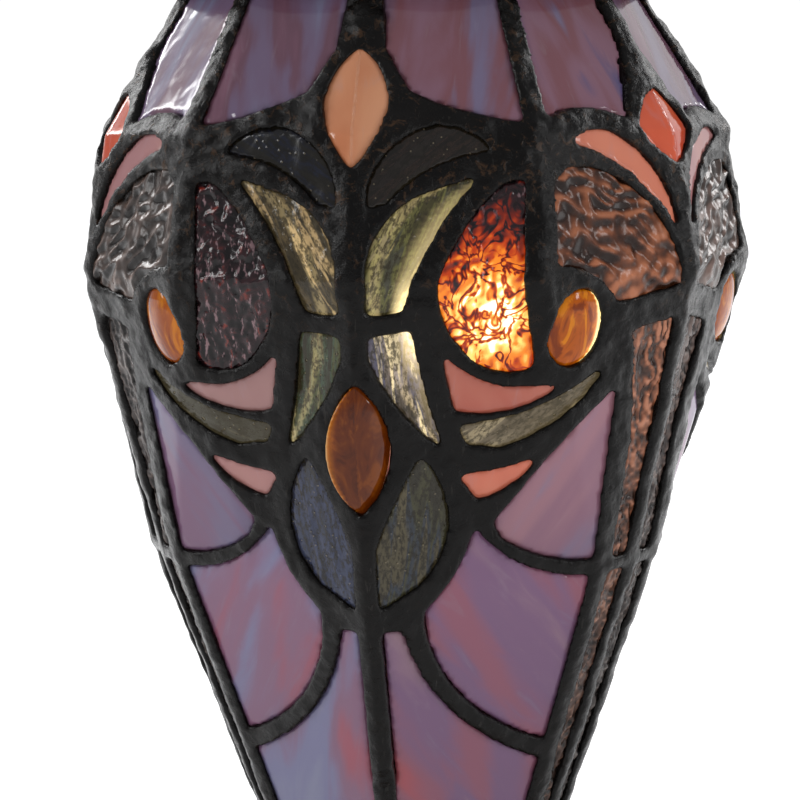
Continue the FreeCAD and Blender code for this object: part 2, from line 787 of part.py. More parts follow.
def make_leads():
    """The leads inside: inlet to switch, and switch up the pipe to the socket."""
    back = "foot_radius - 26"
    level = "fitting_level"
    lead("inlet_lead", [(back, "3", level), ("36", "3", level), ("0", "48", level),
                        ("0", "foot_radius - 12", level)])
    lead("switched_lead", [(back, "-3", level), ("30", "-3", level), ("0", "0", "26"),
                           ("0", "0", "socket_low - 36"), ("bulb_offset", "0", "socket_low - 20"),
                           ("bulb_offset", "0", "socket_low + 4")])


# ---------------------------------------------------------------- socket and bulb

def make_bracket():
    """A collar on the pipe with an arm that carries the socket, and its set screw."""
    collar = primitive("Cylinder", "collar", {"Radius": "nut_radius", "Height": "10"},
                       ("0", "0", "socket_low - 10"))
    arm = primitive("Box", "arm", {"Length": "bulb_offset", "Width": "10", "Height": "4"},
                    ("0", "-5", "socket_low - 4"))
    seat = primitive("Cylinder", "seat", {"Radius": "socket_radius", "Height": "4"},
                     ("bulb_offset", "0", "socket_low - 4"))
    bore = primitive("Cylinder", "collar_bore", {"Radius": "pipe_radius + pipe_clear", "Height": "12"},
                     ("0", "0", "socket_low - 11"))
    way = primitive("Cylinder", "lead_way", {"Radius": "lead_radius + 0.7", "Height": "6"},
                    ("bulb_offset", "0", "socket_low - 5"))
    tapped = primitive("Cylinder", "tapped_hole", {"Radius": "1.55", "Height": "12"},
                       ("-12", "0", "socket_low - 5"), TO_RIGHT)
    keep(minus("bracket", joined("bracket_blank", [collar, arm, seat]),
               joined("bracket_holes", [bore, way, tapped])), "socket_bracket")
    shank = primitive("Cylinder", "set_shank", {"Radius": "1.5", "Height": "7"},
                      ("-7 - pipe_radius - pipe_clear", "0", "socket_low - 5"), TO_RIGHT)
    head = primitive("Cylinder", "set_head", {"Radius": "3", "Height": "2.4"},
                     ("-7 - pipe_radius - pipe_clear", "0", "socket_low - 5"), TO_RIGHT)
    keep(joined("set_screw", [shank, head]), "bracket_screw")


def make_socket():
    """Socket body with its threaded sleeve and its centre contact."""
    turned("socket_body", [
        ("7", "25"),
        ("7", "4"),
        ("lead_radius + 0.7", "4"),
        ("lead_radius + 0.7", "0"),
        ("socket_radius", "0"),
        ("socket_radius", "22"),
        ("socket_radius - 1", "25"),
    ], across="bulb_offset", up="socket_low")
    turned("socket_sleeve", [
        ("6.4", "24"),
        ("6.4", "6"),
        ("7", "6"),
        ("7", "24"),
    ], across="bulb_offset", up="socket_low")
    turned("socket_contact", [
        ("0", "5.2"),
        ("0", "4"),
        ("4", "4"),
        ("4", "4.6"),
        ("2", "5.2"),
    ], across="bulb_offset", up="socket_low")


def make_bulb():
    """A small round bulb: envelope, screw base, tip contact, stem and filament."""
    # the globe's skin meets its neck where a 3-4-5 triangle fits the globe's radius
    globe = size("bulb_radius")
    hollow = globe * 0.95
    turned("bulb_glass", [
        ("0", "bulb_level - socket_low + %g" % hollow),
        ("%g" % (hollow * 0.6), "bulb_level - socket_low - %g" % (hollow * 0.8), -hollow),
        ("4.3", "25"),
        ("4.3", "18"),
        ("5.1", "18"),
        ("5.1", "25"),
        ("%g" % (globe * 0.6), "bulb_level - socket_low - %g" % (globe * 0.8)),
        ("0", "bulb_level - socket_low + %g" % globe, globe),
    ], across="bulb_offset", up="socket_low")
    turned("bulb_base", [
        ("5.15", "22"),
        ("5.15", "8"),
        ("0", "8"),
        ("0", "7"),
        ("6", "7"),
        ("6", "22"),
    ], across="bulb_offset", up="socket_low")
    turned("bulb_contact", [
        ("0", "7"),
        ("0", "5.5"),
        ("1.4", "5.5"),
        ("2.4", "7"),
    ], across="bulb_offset", up="socket_low")
    turned("filament_stem", [
        ("0", "bulb_level - socket_low - 4"),
        ("0", "13"),
        ("3.9", "13"),
        ("3.9", "20"),
        ("1.3", "28"),
        ("1.3", "bulb_level - socket_low - 4"),
    ], across="bulb_offset", up="socket_low")
    ring = primitive("Torus", "filament_ring", {"Radius1": "5", "Radius2": "0.4"},
                     ("bulb_offset", "0", "bulb_level - 3.6"))
    bar = primitive("Cylinder", "filament_bar", {"Radius": "0.4", "Height": "10"},
                    ("bulb_offset - 5", "0", "bulb_level - 3.6"), TO_RIGHT)
    keep(joined("filament_wire", [ring, bar]), "filament")


# ---------------------------------------------------------------- rim, cap and finial

def make_top():
    """The rim on the glass body, the vented cap that lifts off it, and the finial."""
    rim_level = "ring_level + top_rise"
    cap_level = rim_level + " + rim_thick + body_gap"
    turned("top_rim", [
        ("top_radius - 10", "rim_thick"),
        ("top_radius - 10", "0"),
        ("top_radius", "0"),
        ("top_radius + 1", "1"),
        ("top_radius + 1", "rim_thick"),
    ], up=rim_level)
    cap = turned("cap", [
        ("pipe_radius + 0.6", "cap_height"),
        ("pipe_radius + 0.6", "cap_height - 5"),
        ("11", "cap_height - 5"),
        ("36", "12.5", 40),
        ("61", "4.5", 90),
        ("61", "0"),
        ("cap_radius - 3", "0"),
        ("cap_radius - 3", "-3.3"),
        ("cap_radius", "-3.3"),
        ("cap_radius", "2"),
        ("cap_radius - 2", "4", 2),
        ("62", "7"),
        ("38", "15.5", -90),
        ("14", "cap_height - 2.5", -34),
        ("14", "cap_height"),
    ], up=cap_level)
    vent = pocket(cap, "XY_Plane", "vent", [("50", "0", "3")], True)
    repeat(cap, "vents", *vent, 12)
    washer_level = cap_level + " + cap_height"
    turned("cap_washer", [
        ("pipe_radius + 0.6", "1.5"),
        ("pipe_radius + 0.6", "0"),
        ("12", "0"),
        ("12", "1.5"),
    ], up=washer_level)
    turned("finial", [
        ("0", "finial_height"),
        ("0", "14"),
        ("pipe_radius + pipe_clear", "14"),
        ("pipe_radius + pipe_clear", "0"),
        ("11.5", "0"),
        ("12.5", "1.5"),
        ("11.5", "3"),
        ("7.5", "4.5"),
        ("7", "7.5"),
        ("12.5", "16", 9),
        ("6", "25.5", 11),
        ("4", "27.5"),
        ("6", "29.5"),
        ("5", "33.5"),
    ], up=washer_level + " + 1.5 + body_gap")


def check_and_write():
    """Stop on any failed or invalid object, then write one file for each sub-part."""
    doc.recompute()
    for thing in doc.Objects:
        if "Invalid" in thing.State or "Error" in thing.State:
            raise RuntimeError(thing.Label + " failed to recompute")
    os.makedirs("parts", exist_ok=True)
    for old in os.listdir("parts"):
        os.remove(os.path.join("parts", old))
    for thing in parts:
        if thing.Shape.isNull() or not thing.Shape.isValid():
            raise RuntimeError(thing.Label + " has no valid shape")
        thing.Shape.exportStep(os.path.join("parts", thing.Label + ".step"))
        print("%-24s %3d solids %10.1f mm3" % (thing.Label, len(thing.Shape.Solids), thing.Shape.Volume))


fill_sheet()
make_body_glass()
make_foot()
make_cup()
make_stem()
make_inlet()
make_switch()
make_leads()
make_bracket()
make_socket()
make_bulb()
make_top()
check_and_write()
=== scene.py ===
"""Looks of the stained glass table lamp: glass, solder, castings and fittings round the fixed frame.

Metres, +Z up, in the frame's own axes.  The glass body has three main faces, the first one
square to -Y, and three narrower corner faces between them.  Every glass piece, the solder
network and the castings are made here from copies of the frame's solids; the small fittings
keep their solids and only get materials.
"""
import itertools
import math

import bmesh
import bpy
import numpy as np
from mathutils import Matrix, Vector


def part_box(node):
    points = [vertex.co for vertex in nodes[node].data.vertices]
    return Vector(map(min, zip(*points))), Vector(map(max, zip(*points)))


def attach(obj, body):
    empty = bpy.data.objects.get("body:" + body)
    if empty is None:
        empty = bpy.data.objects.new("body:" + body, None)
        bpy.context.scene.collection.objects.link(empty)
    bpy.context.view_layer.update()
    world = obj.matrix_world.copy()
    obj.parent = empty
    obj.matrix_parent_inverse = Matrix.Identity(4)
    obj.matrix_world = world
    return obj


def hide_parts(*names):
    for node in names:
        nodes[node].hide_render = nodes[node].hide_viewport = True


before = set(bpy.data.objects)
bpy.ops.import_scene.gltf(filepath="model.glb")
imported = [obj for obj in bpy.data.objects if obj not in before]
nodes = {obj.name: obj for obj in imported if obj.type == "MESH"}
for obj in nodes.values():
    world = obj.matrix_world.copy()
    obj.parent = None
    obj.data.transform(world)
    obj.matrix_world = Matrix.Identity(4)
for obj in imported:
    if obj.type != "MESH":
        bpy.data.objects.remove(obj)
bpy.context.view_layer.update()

MM = 0.001
RING_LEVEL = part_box("belt_leadwork")[1].z - 46 * MM
bulb_low, bulb_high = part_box("bulb_glass")
# Centre of the painted glare of the bulb, seen through the front right eye.
PAINTED_GLARE_SPOT = np.array([33, -83, 252]) * MM
FULL_GLOW_REACH = 62 * MM
BULB = np.array([(bulb_low.x + bulb_high.x) / 2, 0.0, bulb_high.z - (bulb_high.x - bulb_low.x) / 2])


# ---------------------------------------------------------------- camera, world, lights, floor

def make_camera():
    """Close view of the glass body from the front and a little to the right."""
    distance = 0.633
    azimuth = math.radians(9.4)
    heading = math.radians(9.745)
    down = math.radians(7.7)
    roll = math.radians(-0.72)
    camera = bpy.data.objects.new("camera", bpy.data.cameras.new("camera"))
    bpy.context.scene.collection.objects.link(camera)
    camera.data.lens = 99.36
    camera.data.sensor_width = 36.0
    place = Vector((distance * math.sin(azimuth), -distance * math.cos(azimuth), RING_LEVEL + 54 * MM))
    turn = (Matrix.Rotation(heading, 4, "Z") @ Matrix.Rotation(math.pi / 2 - down, 4, "X")
            @ Matrix.Rotation(roll, 4, "Z"))
    camera.matrix_world = Matrix.Translation(place) @ turn
    camera.data.clip_start = 0.01
    bpy.context.scene.camera = camera


def area_light(name, place, target, wide, tall, power):
    """A rectangular white light at a place, turned towards a target."""
    light = bpy.data.lights.new(name, "AREA")
    light.shape = "RECTANGLE"
    light.size = wide
    light.size_y = tall
    light.energy = power
    lamp = bpy.data.objects.new(name, light)
    bpy.context.scene.collection.objects.link(lamp)
    away = Vector(place) - Vector(target)
    lamp.matrix_world = Matrix.Translation(place) @ away.to_track_quat("Z", "Y").to_matrix().to_4x4()


def make_world():
    """Bright white behind the lamp as the camera sees it, dimmer everywhere else."""
    world = bpy.data.worlds.new("world")
    bpy.context.scene.world = world
    world.use_nodes = True
    tree = world.node_tree
    backdrop = tree.nodes["Background"]
    backdrop.inputs["Strength"].default_value = 1.06
    facing = tree.nodes.new("ShaderNodeVectorMath")
    facing.operation = "DOT_PRODUCT"
    facing.inputs[1].default_value = (-0.17, 0.985, 0.0)
    tree.links.new(tree.nodes.new("ShaderNodeTexCoord").outputs["Generated"], facing.inputs[0])
    spread = tree.nodes.new("ShaderNodeValToRGB")
    spread.color_ramp.interpolation = "EASE"
    dim, bright = spread.color_ramp.elements
    dim.position = 0.45
    dim.color = (0.3, 0.305, 0.32, 1)
    bright.position = 0.88
    bright.color = (1, 1, 1, 1)
    tree.links.new(facing.outputs["Value"], spread.inputs["Fac"])
    tree.links.new(spread.outputs["Color"], backdrop.inputs["Color"])


def make_light():
    """Tall window panes at the left and the right, and smaller ones behind."""
    middle = (0, 0, 0.24)
    area_light("left_pane", (-1.75, -0.45, 0.95), middle, 0.24, 0.9, 5.5)
    area_light("near_pane", (-1.55, -0.95, 1.15), middle, 0.24, 0.9, 5.5)
    area_light("right_pane", (1.6, -0.5, 0.75), middle, 0.22, 0.9, 4.5)
    area_light("rear_left_pane", (-1.13, 0.75, 1.0), middle, 0.13, 0.7, 3.5)
    area_light("rear_far_pane", (-1.24, 0.55, 1.0), middle, 0.09, 0.7, 2.5)
    area_light("rear_right_pane", (1.2, 1.2, 0.9), middle, 0.4, 0.7, 6.0)
    bpy.context.scene.view_settings.view_transform = "Standard"


def make_floor():
    """A wide round white floor that glows a little, more so towards the back."""
    radius = 6.0
    sides = 96
    mesh = bpy.data.meshes.new("floor")
    rim = [(radius * math.cos(2 * math.pi * i / sides), radius * math.sin(2 * math.pi * i / sides), 0)
           for i in range(sides)]
    mesh.from_pydata(rim, [], [list(range(sides))])
    floor = bpy.data.objects.new("floor", mesh)
    bpy.context.scene.collection.objects.link(floor)
    look = Look("floor_white")
    look.set("Base Color", linear("f4f4f4"))
    look.set("Roughness", 0.6)
    look.set("Emission Color", (1, 1, 1, 1))
    apart = look.node("SeparateXYZ")
    look.feed(apart, "Vector", look.spots())
    look.drive("Emission Strength", look.ramp(apart.outputs["Y"], [(0.0, 0.1), (0.35, 0.8)]))
    mesh.materials.append(look.material)


# ---------------------------------------------------------------- noise in numpy

def hashed(cells, seed):
    """A repeatable number from 0 to 1 for each whole-number cell."""
    cells = cells.astype(np.int64).astype(np.uint64)
    mix = cells[:, 0] * np.uint64(73856093)
    mix ^= cells[:, 1] * np.uint64(19349663)
    mix ^= cells[:, 2] * np.uint64(83492791)
    mix ^= np.uint64(seed * 2654435761 % 2 ** 32)
    for _ in range(2):
        mix ^= mix >> np.uint64(15)
        mix *= np.uint64(2246822519)
        mix &= np.uint64(0xFFFFFFFF)
    return mix.astype(float) / 2.0 ** 32


def lumps(points, scale, seed):
    """Smooth random heights, -1 to 1, with lumps about as wide as scale."""
    spots = points / scale
    cells = np.floor(spots)
    inside = spots - cells
    inside = inside * inside * (3 - 2 * inside)
    total = np.zeros(len(points))
    for corner in itertools.product((0, 1), repeat=3):
        step = np.array(corner)
        weight = np.prod(np.where(step, inside, 1 - inside), axis=1)
        total += weight * hashed(cells + step, seed)
    return total * 2 - 1


def dimples(points, scale, seed):
    """Distance to the nearest of scattered points, in scales."""
    spots = points / scale
    cells = np.floor(spots)
    nearest = np.full(len(points), np.inf)
    for step in itertools.product((-1, 0, 1), repeat=3):
        cell = cells + np.array(step)
        centre = cell + np.stack([hashed(cell, seed + axis) for axis in range(3)], axis=1)
        nearest = np.minimum(nearest, np.linalg.norm(spots - centre, axis=1))
    return nearest


# ---------------------------------------------------------------- mesh tools

def joined_mesh(name, node_names):
    """One welded mesh with the surfaces of several of the frame's nodes."""
    work = bmesh.new()
    for node in node_names:
        work.from_mesh(nodes[node].data)
    bmesh.ops.remove_doubles(work, verts=work.verts, dist=0.001 * MM)
    mesh = bpy.data.meshes.new(name)
    work.to_mesh(mesh)
    work.free()
    return mesh


def remeshed(mesh, voxel):
    """The same surface in even small squares."""
    holder = bpy.data.objects.new("holder", mesh)
    bpy.context.scene.collection.objects.link(holder)
    remesh = holder.modifiers.new("remesh", "REMESH")
    remesh.mode = "VOXEL"
    remesh.voxel_size = voxel
    ready = holder.evaluated_get(bpy.context.evaluated_depsgraph_get())
    result = bpy.data.meshes.new_from_object(ready)
    result.name = mesh.name
    bpy.data.objects.remove(holder)
    return result


def vectors_of(mesh, kind):
    """The places or the normals of the mesh's points, one row each."""
    vectors = np.empty(len(mesh.vertices) * 3, np.float32)
    mesh.vertices.foreach_get(kind, vectors)
    return vectors.reshape(-1, 3).astype(float)


def spots_of(mesh):
    return vectors_of(mesh, "co")


def normals_of(mesh):
    return vectors_of(mesh, "normal")


def put_spots(mesh, spots):
    mesh.vertices.foreach_set("co", spots.astype(np.float32).ravel())
    mesh.update()


def smoothed(mesh, rounds, share):
    """Even out the surface by moving each point part of the way to the mean of its neighbours."""
    edges = np.empty(len(mesh.edges) * 2, np.int32)
    mesh.edges.foreach_get("vertices", edges)
    one, other = edges.reshape(-1, 2).T
    count = len(mesh.vertices)
    near = (np.bincount(one, minlength=count) + np.bincount(other, minlength=count)).clip(1)
    spots = spots_of(mesh)
    for _, axis in itertools.product(range(rounds), range(3)):
        total = np.bincount(one, weights=spots[other, axis], minlength=count)
        total += np.bincount(other, weights=spots[one, axis], minlength=count)
        spots[:, axis] += share * (total / near - spots[:, axis])
    put_spots(mesh, spots)


def keep_values(mesh, name, values):
    """Store a number or a vector for each point of the mesh."""
    kind = "FLOAT" if values.ndim == 1 else "FLOAT_VECTOR"
    layer = mesh.attributes.new(name, kind, "POINT")
    layer.data.foreach_set("value" if values.ndim == 1 else "vector", values.astype(np.float32).ravel())


def piece(name, mesh, material, slot, body, *replaced):
    """A finished mesh as a shown piece that rides on a body and stands for some nodes."""
    mesh.polygons.foreach_set("use_smooth", [True] * len(mesh.polygons))
    mesh.materials.clear()
    mesh.materials.append(material)
    thing = bpy.data.objects.new(name, mesh)
    bpy.context.scene.collection.objects.link(thing)
    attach(thing, body)
    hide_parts(*replaced)


# ---------------------------------------------------------------- material tools

def linear(code):
    """A display colour written as six hexadecimal digits, as linear red, green and blue."""
    parts = [int(code[i:i + 2], 16) / 255 for i in (0, 2, 4)]
    return tuple(p / 12.92 if p <= 0.04045 else ((p + 0.055) / 1.055) ** 2.4 for p in parts) + (1.0,)


class Look:
    """A material with short calls for the nodes that this lamp needs."""

    def __init__(self, name):
        self.material = bpy.data.materials.new(name)
        self.material.use_nodes = True
        self.tree = self.material.node_tree
        self.shader = self.tree.nodes["Principled BSDF"]

    def set(self, socket, number):
        self.shader.inputs[socket].default_value = number

    def drive(self, socket, source):
        self.tree.links.new(source, self.shader.inputs[socket])

    def node(self, kind, **settings):
        made = self.tree.nodes.new("ShaderNode" + kind)
        for name, setting in settings.items():
            setattr(made, name, setting)
        return made

    def feed(self, made, socket, source):
        if isinstance(source, bpy.types.NodeSocket):
            self.tree.links.new(source, made.inputs[socket])
        else:
            made.inputs[socket].default_value = source

    def value(self, name):
        """A number that the mesh holds for each of its points."""
        return self.node("Attribute", attribute_name=name).outputs["Fac"]

    def spots(self, name=None, stretch=(1, 1, 1)):
        """Coordinates: the mesh's own vectors of that name, or else places in the frame."""
        if name:
            source = self.node("Attribute", attribute_name=name).outputs["Vector"]
        else:
            source = self.node("TexCoord").outputs["Object"]
        mapping = self.node("Mapping")
        self.feed(mapping, "Vector", source)
        mapping.inputs["Scale"].default_value = stretch
        return mapping.outputs["Vector"]

    def noise(self, spots, scale, detail=3.0, roughness=0.55, distortion=0.0):
        made = self.node("TexNoise")
        self.feed(made, "Vector", spots)
        made.inputs["Scale"].default_value = scale
        made.inputs["Detail"].default_value = detail
        made.inputs["Roughness"].default_value = roughness
        made.inputs["Distortion"].default_value = distortion
        return made.outputs["Fac"]

    def cells(self, spots, scale):
        """Distance to the nearest of scattered cell centres."""
        made = self.node("TexVoronoi", feature="F1")
        self.feed(made, "Vector", spots)
        made.inputs["Scale"].default_value = scale
        return made.outputs["Distance"]

    def ramp(self, source, stops):
        """Colours, or greys given as numbers, at rising places from 0 to 1."""
        made = self.node("ValToRGB")
        made.color_ramp.interpolation = "EASE"
        elements = made.color_ramp.elements
        elements[0].position = stops[0][0]
        elements[1].position = stops[-1][0]
        for place, _ in stops[1:-1]:
            elements.new(place)
        for element, (_, colour) in zip(elements, stops):
            if isinstance(colour, str):
                element.color = linear(colour)
            else:
                element.color = (colour, colour, colour, 1.0)
        self.feed(made, "Fac", source)
        return made.outputs["Color"]

    def mix(self, share, first, second, how="MIX"):
        """Two colours mixed; share may be a number or come from a node."""
        made = self.node("Mix", data_type="RGBA", blend_type=how)
        for socket, source in ((0, share), (6, first), (7, second)):
            if isinstance(source, str):
                source = linear(source)
            if isinstance(source, bpy.types.NodeSocket):
                self.tree.links.new(source, made.inputs[socket])
            else:
                made.inputs[socket].default_value = source
        return made.outputs[2]

    def sum(self, how, first, second=None, third=None):
        """One step of arithmetic on up to three numbers or node outputs."""
        made = self.node("Math", operation=how)
        for index, source in enumerate((first, second, third)):
            if source is not None:
                self.feed(made, index, source)
        return made.outputs[0]

    def bump(self, height, distance, strength=1.0, under=None):
        made = self.node("Bump")
        made.inputs["Strength"].default_value = strength
        made.inputs["Distance"].default_value = distance
        self.feed(made, "Height", height)
        if under is not None:
            self.feed(made, "Normal", under)
        return made.outputs["Normal"]


# ---------------------------------------------------------------- glass materials

def opal_glass(name, streaks, other_streaks, glow, along=12.0, across=70.0):
    """Smooth streaky glass that scatters light, shown as painted bulb light glowing in it: two sheets
    of colours, picked by tone.
    """
    look = Look(name)
    flow = look.spots("sheet", (across, across, along))
    broad = look.noise(flow, 1.0, 2.5, 0.5, 0.6)
    finer = look.spots("sheet", (across * 3.4, across * 3.4, along * 2.2))
    wisps = look.noise(finer, 1.0, 4.0, 0.6, 1.2)
    place = look.sum("MULTIPLY_ADD", wisps, 0.22, look.sum("MULTIPLY_ADD", broad, 1.9, -0.56))
    colour = look.mix(look.value("tone"), look.ramp(place, streaks), look.ramp(place, other_streaks))
    milk = look.ramp(wisps, [(0.55, 0.0), (0.8, 0.22)])
    colour = look.mix(milk, colour, "9a8f9c")
    look.drive("Base Color", colour)
    # Emission from the glow value is painted bulb light, warmed, standing in for light through the
    # glass.
    look.drive("Emission Color", look.mix(0.5, look.mix(0.55, colour, "ff9a6a", "MULTIPLY"), colour))
    look.drive("Emission Strength", look.sum("MULTIPLY", look.value("glow"), glow))
    look.set("Roughness", 0.09)
    look.set("IOR", 1.5)
    ripple = look.noise(look.spots("sheet"), 90.0, 2.0)
    look.drive("Normal", look.bump(ripple, 0.25 * MM, 0.6))
    return look.material


def streaky_glass(name, colours, other_colours, glow, painted_light_gain=1.6, streaks=None, gleam="ffe2a0", bumps=1.0):
    """Seedy clear glass: dark and bright lengthwise bars, grit, bubbles and glints, with painted bulb
    light in the emission.

    streaks places one long painted streak of bulb light across the left pieces and one across the right
    ones.
    """
    look = Look(name)
    flow = look.spots("sheet", (300, 300, 28))
    bands = look.noise(flow, 1.0, 2.5, 0.55, 0.9)
    broad = look.noise(look.spots("sheet"), 40.0, 2.0, 0.5, 0.4)
    place = look.sum("MULTIPLY_ADD", broad, 1.3, look.sum("MULTIPLY_ADD", bands, 2.6, -1.45))
    colour = look.mix(look.value("tone"), look.ramp(place, colours), look.ramp(place, other_colours))
    grain = look.noise(look.spots("sheet", (1100, 1100, 500)), 1.0, 4.0, 0.7)
    colour = look.mix(look.ramp(grain, [(0.4, 0.8), (0.56, 0.0)]), colour, "0c0a08")
    seeds = look.cells(look.spots("sheet"), 560.0)
    dots = look.ramp(seeds, [(0.08, 1.0), (0.15, 0.0)])
    colour = look.mix(look.sum("MULTIPLY", dots, 0.3), colour, "b8a888")
    look.drive("Base Color", colour)
    # Painted bulb light: the bright bars glow as far as the glow reaches.
    bars = look.ramp(place, [(0.66, 0.0), (0.84, 1.0)])
    reach = look.ramp(look.value("glow"), [(0.25, 0.05), (0.9, 0.8)])
    lit = look.sum("MULTIPLY", bars, reach)
    if streaks:
        where = look.sum("MULTIPLY_ADD", look.value("tone"), streaks[1] - streaks[0], streaks[0])
        apart = look.sum("SUBTRACT", look.sum("MULTIPLY_ADD", bands, 0.5, look.value("rim")), 0.25)
        apart = look.sum("ABSOLUTE", look.sum("SUBTRACT", apart, where))
        streak = look.ramp(apart, [(0.04, 1.0), (0.2, 0.0)])
        lit = look.sum("ADD", lit, look.sum("MULTIPLY", streak, reach))
    lit = look.sum("MULTIPLY", lit, look.ramp(grain, [(0.4, 0.2), (0.56, 1.0)]))
    # Painted glare of the bulb along the right-hand part of each piece that the glare reaches.
    far_edge = look.ramp(look.value("rim"), [(0.55, 0.0), (0.85, 1.0)])
    near = look.sum("MULTIPLY", look.value("bulb_glare"), far_edge)
    lit = look.sum("ADD", lit, look.sum("MULTIPLY", near, 1.6))
    look.drive("Emission Color", look.mix(0.5, colour, gleam))
    base = look.sum("MULTIPLY", look.value("glow"), glow)
    look.drive("Emission Strength", look.sum("MULTIPLY_ADD", lit, painted_light_gain, base))
    look.set("Roughness", 0.16)
    look.set("IOR", 1.48)
    pits = look.bump(look.ramp(seeds, [(0.05, 1.0), (0.3, 0.0)]), 0.25 * MM, 0.8 * bumps)
    rolls = look.noise(look.spots("sheet", (420, 420, 90)), 1.0, 3.0)
    look.drive("Normal", look.bump(rolls, 0.35 * MM, 0.9 * bumps, pits))
    return look.material


def relief_glass(name, left, right, glow, painted_glint=0.35):
    """Hammered or barked glass with painted light and shade: each lump is painted lighter on the side
    that leans away from the bulb and on its crest, darker on the other side.

    left and right hold the colours of painted shadow, body and painted highlight on the crest, on
    either side of the front.
    """
    look = Look(name)
    patch = look.noise(look.spots("sheet"), 60.0, 3.0, 0.6, 0.8)
    grit = look.noise(look.spots("sheet"), 700.0, 3.0, 0.65)
    patch = look.sum("MULTIPLY_ADD", patch, 0.7, 0.12)
    level = look.sum("MULTIPLY_ADD", look.value("slope"), 0.75, patch)
    level = look.sum("MULTIPLY_ADD", look.value("relief"), 0.35, look.sum("SUBTRACT", level, 0.17))
    level = look.sum("MULTIPLY_ADD", grit, 0.16, look.sum("SUBTRACT", level, 0.08))
    places = (0.2, 0.52, 0.9)
    colour = look.mix(look.value("tone"), look.ramp(level, list(zip(places, left))),
                      look.ramp(level, list(zip(places, right))))
    look.drive("Base Color", colour)
    look.set("IOR", 1.42)
    look.set("Roughness", 0.2)
    # Emission is painted bulb light as far as the glow reaches, strongest on the lighter slopes, with
    # glints in the grit as painted highlights.
    glint = look.ramp(grit, [(0.66, 0.0), (0.74, 1.0)])
    lit = look.sum("MULTIPLY", look.value("glow"), look.ramp(level, [(0.35, 0.05), (0.9, 1.0)]))
    lit = look.sum("MULTIPLY_ADD", look.sum("MULTIPLY", glint, look.value("glow")), painted_glint, lit)
    # The pieces at the left glow far less: painted shade.
    lit = look.sum("MULTIPLY", lit, look.ramp(look.value("tone"), [(0.0, 0.15), (1.0, 1.0)]))
    look.drive("Emission Color", look.mix(0.5, colour, "ff8a4a"))
    look.drive("Emission Strength", look.sum("MULTIPLY", lit, glow))
    look.drive("Normal", look.bump(grit, 0.12 * MM, 0.5))
    return look.material


def eye_glass():
    """Hammered purple-brown glass with painted light: red, orange and white where the bulb's glare is
    painted, painted shade by the lean of each lump, and pale painted glints where it is unlit.
    """
    look = Look("eye_glass")
    worms = look.noise(look.spots("sheet"), 150.0, 2.5, 0.55, 1.3)
    rings = look.sum("ABSOLUTE", look.sum("MULTIPLY_ADD", worms, 6.0, -3.0))
    rings = look.ramp(rings, [(0.0, 0.0), (0.45, 1.0)])
    # Painted glare and painted shade by slope set the level of the colour ramp, in base colour and
    # emission.
    painted_glare = look.sum("MULTIPLY", look.value("bulb_glare"), 0.68)
    level = look.sum("MULTIPLY_ADD", look.value("slope"), 0.35, painted_glare)
    mottle = look.sum("MULTIPLY_ADD", look.value("bulb_glare"), 0.36, 0.14)
    level = look.sum("MULTIPLY_ADD", look.sum("SUBTRACT", rings, 0.7), mottle, level)
    level = look.sum("MULTIPLY_ADD", look.value("relief"), 0.22, level)
    colour = look.ramp(level, [(0.0, "140c0e"), (0.2, "3a2024"), (0.34, "7a2010"), (0.5, "d04410"),
                               (0.66, "ff8c24"), (0.82, "ffd870"), (0.94, "ffffff")])
    # Pale vertical flecks in the unlit parts are painted glints.
    glint_noise = look.noise(look.spots("sheet", (1, 1, 0.45)), 620.0, 3.0, 0.6)
    unlit = look.ramp(look.value("bulb_glare"), [(0.02, 1.0), (0.3, 0.0)])
    painted_glint = look.sum("MULTIPLY", look.ramp(glint_noise, [(0.57, 0.0), (0.67, 0.8)]), unlit)
    look.drive("Base Color", look.mix(painted_glint, look.mix(0.45, colour, "100808"), "a08084"))
    look.drive("Emission Color", colour)
    look.drive("Emission Strength", look.ramp(level, [(0.15, 0.04), (0.4, 0.45), (0.9, 1.0)]))
    look.set("Roughness", 0.12)
    look.set("IOR", 1.5)
    grit = look.noise(look.spots("sheet"), 900.0, 3.0, 0.6)
    look.drive("Normal", look.bump(grit, 0.12 * MM, 0.5))
    return look.material


def jewel_glass():
    """Pressed amber glass: clouded inside, with a dark set of colours as painted shade and a bright set
    as painted light, picked by tone, and one rim painted lit.
    """
    look = Look("amber_jewel")
    swirl = look.noise(look.spots("sheet", (1, 1, 0.45)), 170.0, 3.0, 0.6, 1.6)
    # The dark set is painted shade for jewels away from the bulb, the bright set painted light for
    # those near it.
    colour = look.mix(look.value("tone"),
                      look.ramp(swirl, [(0.35, "0e0403"), (0.5, "2a0e06"), (0.65, "54200c")]),
                      look.ramp(swirl, [(0.35, "7c3000"), (0.5, "c05c02"), (0.65, "ee900a")]))
    look.drive("Base Color", colour)
    look.set("IOR", 1.45)
    look.set("Roughness", 0.05)
    # The relief value here is a painted rim light, glowing as far as the bulb's glow reaches.
    rim = look.value("relief")
    look.drive("Emission Color", look.ramp(rim, [(0.1, "b04c08"), (0.45, "f08a18"), (0.8, "fff0a8")]))
    strength = look.ramp(rim, [(0.0, 0.1), (0.35, 0.22), (0.8, 1.0)])
    reach = look.sum("MULTIPLY", look.value("glow"), 2.2)
    look.drive("Emission Strength", look.sum("MULTIPLY", strength, reach))
    return look.material


# ---------------------------------------------------------------- metal and fitting materials

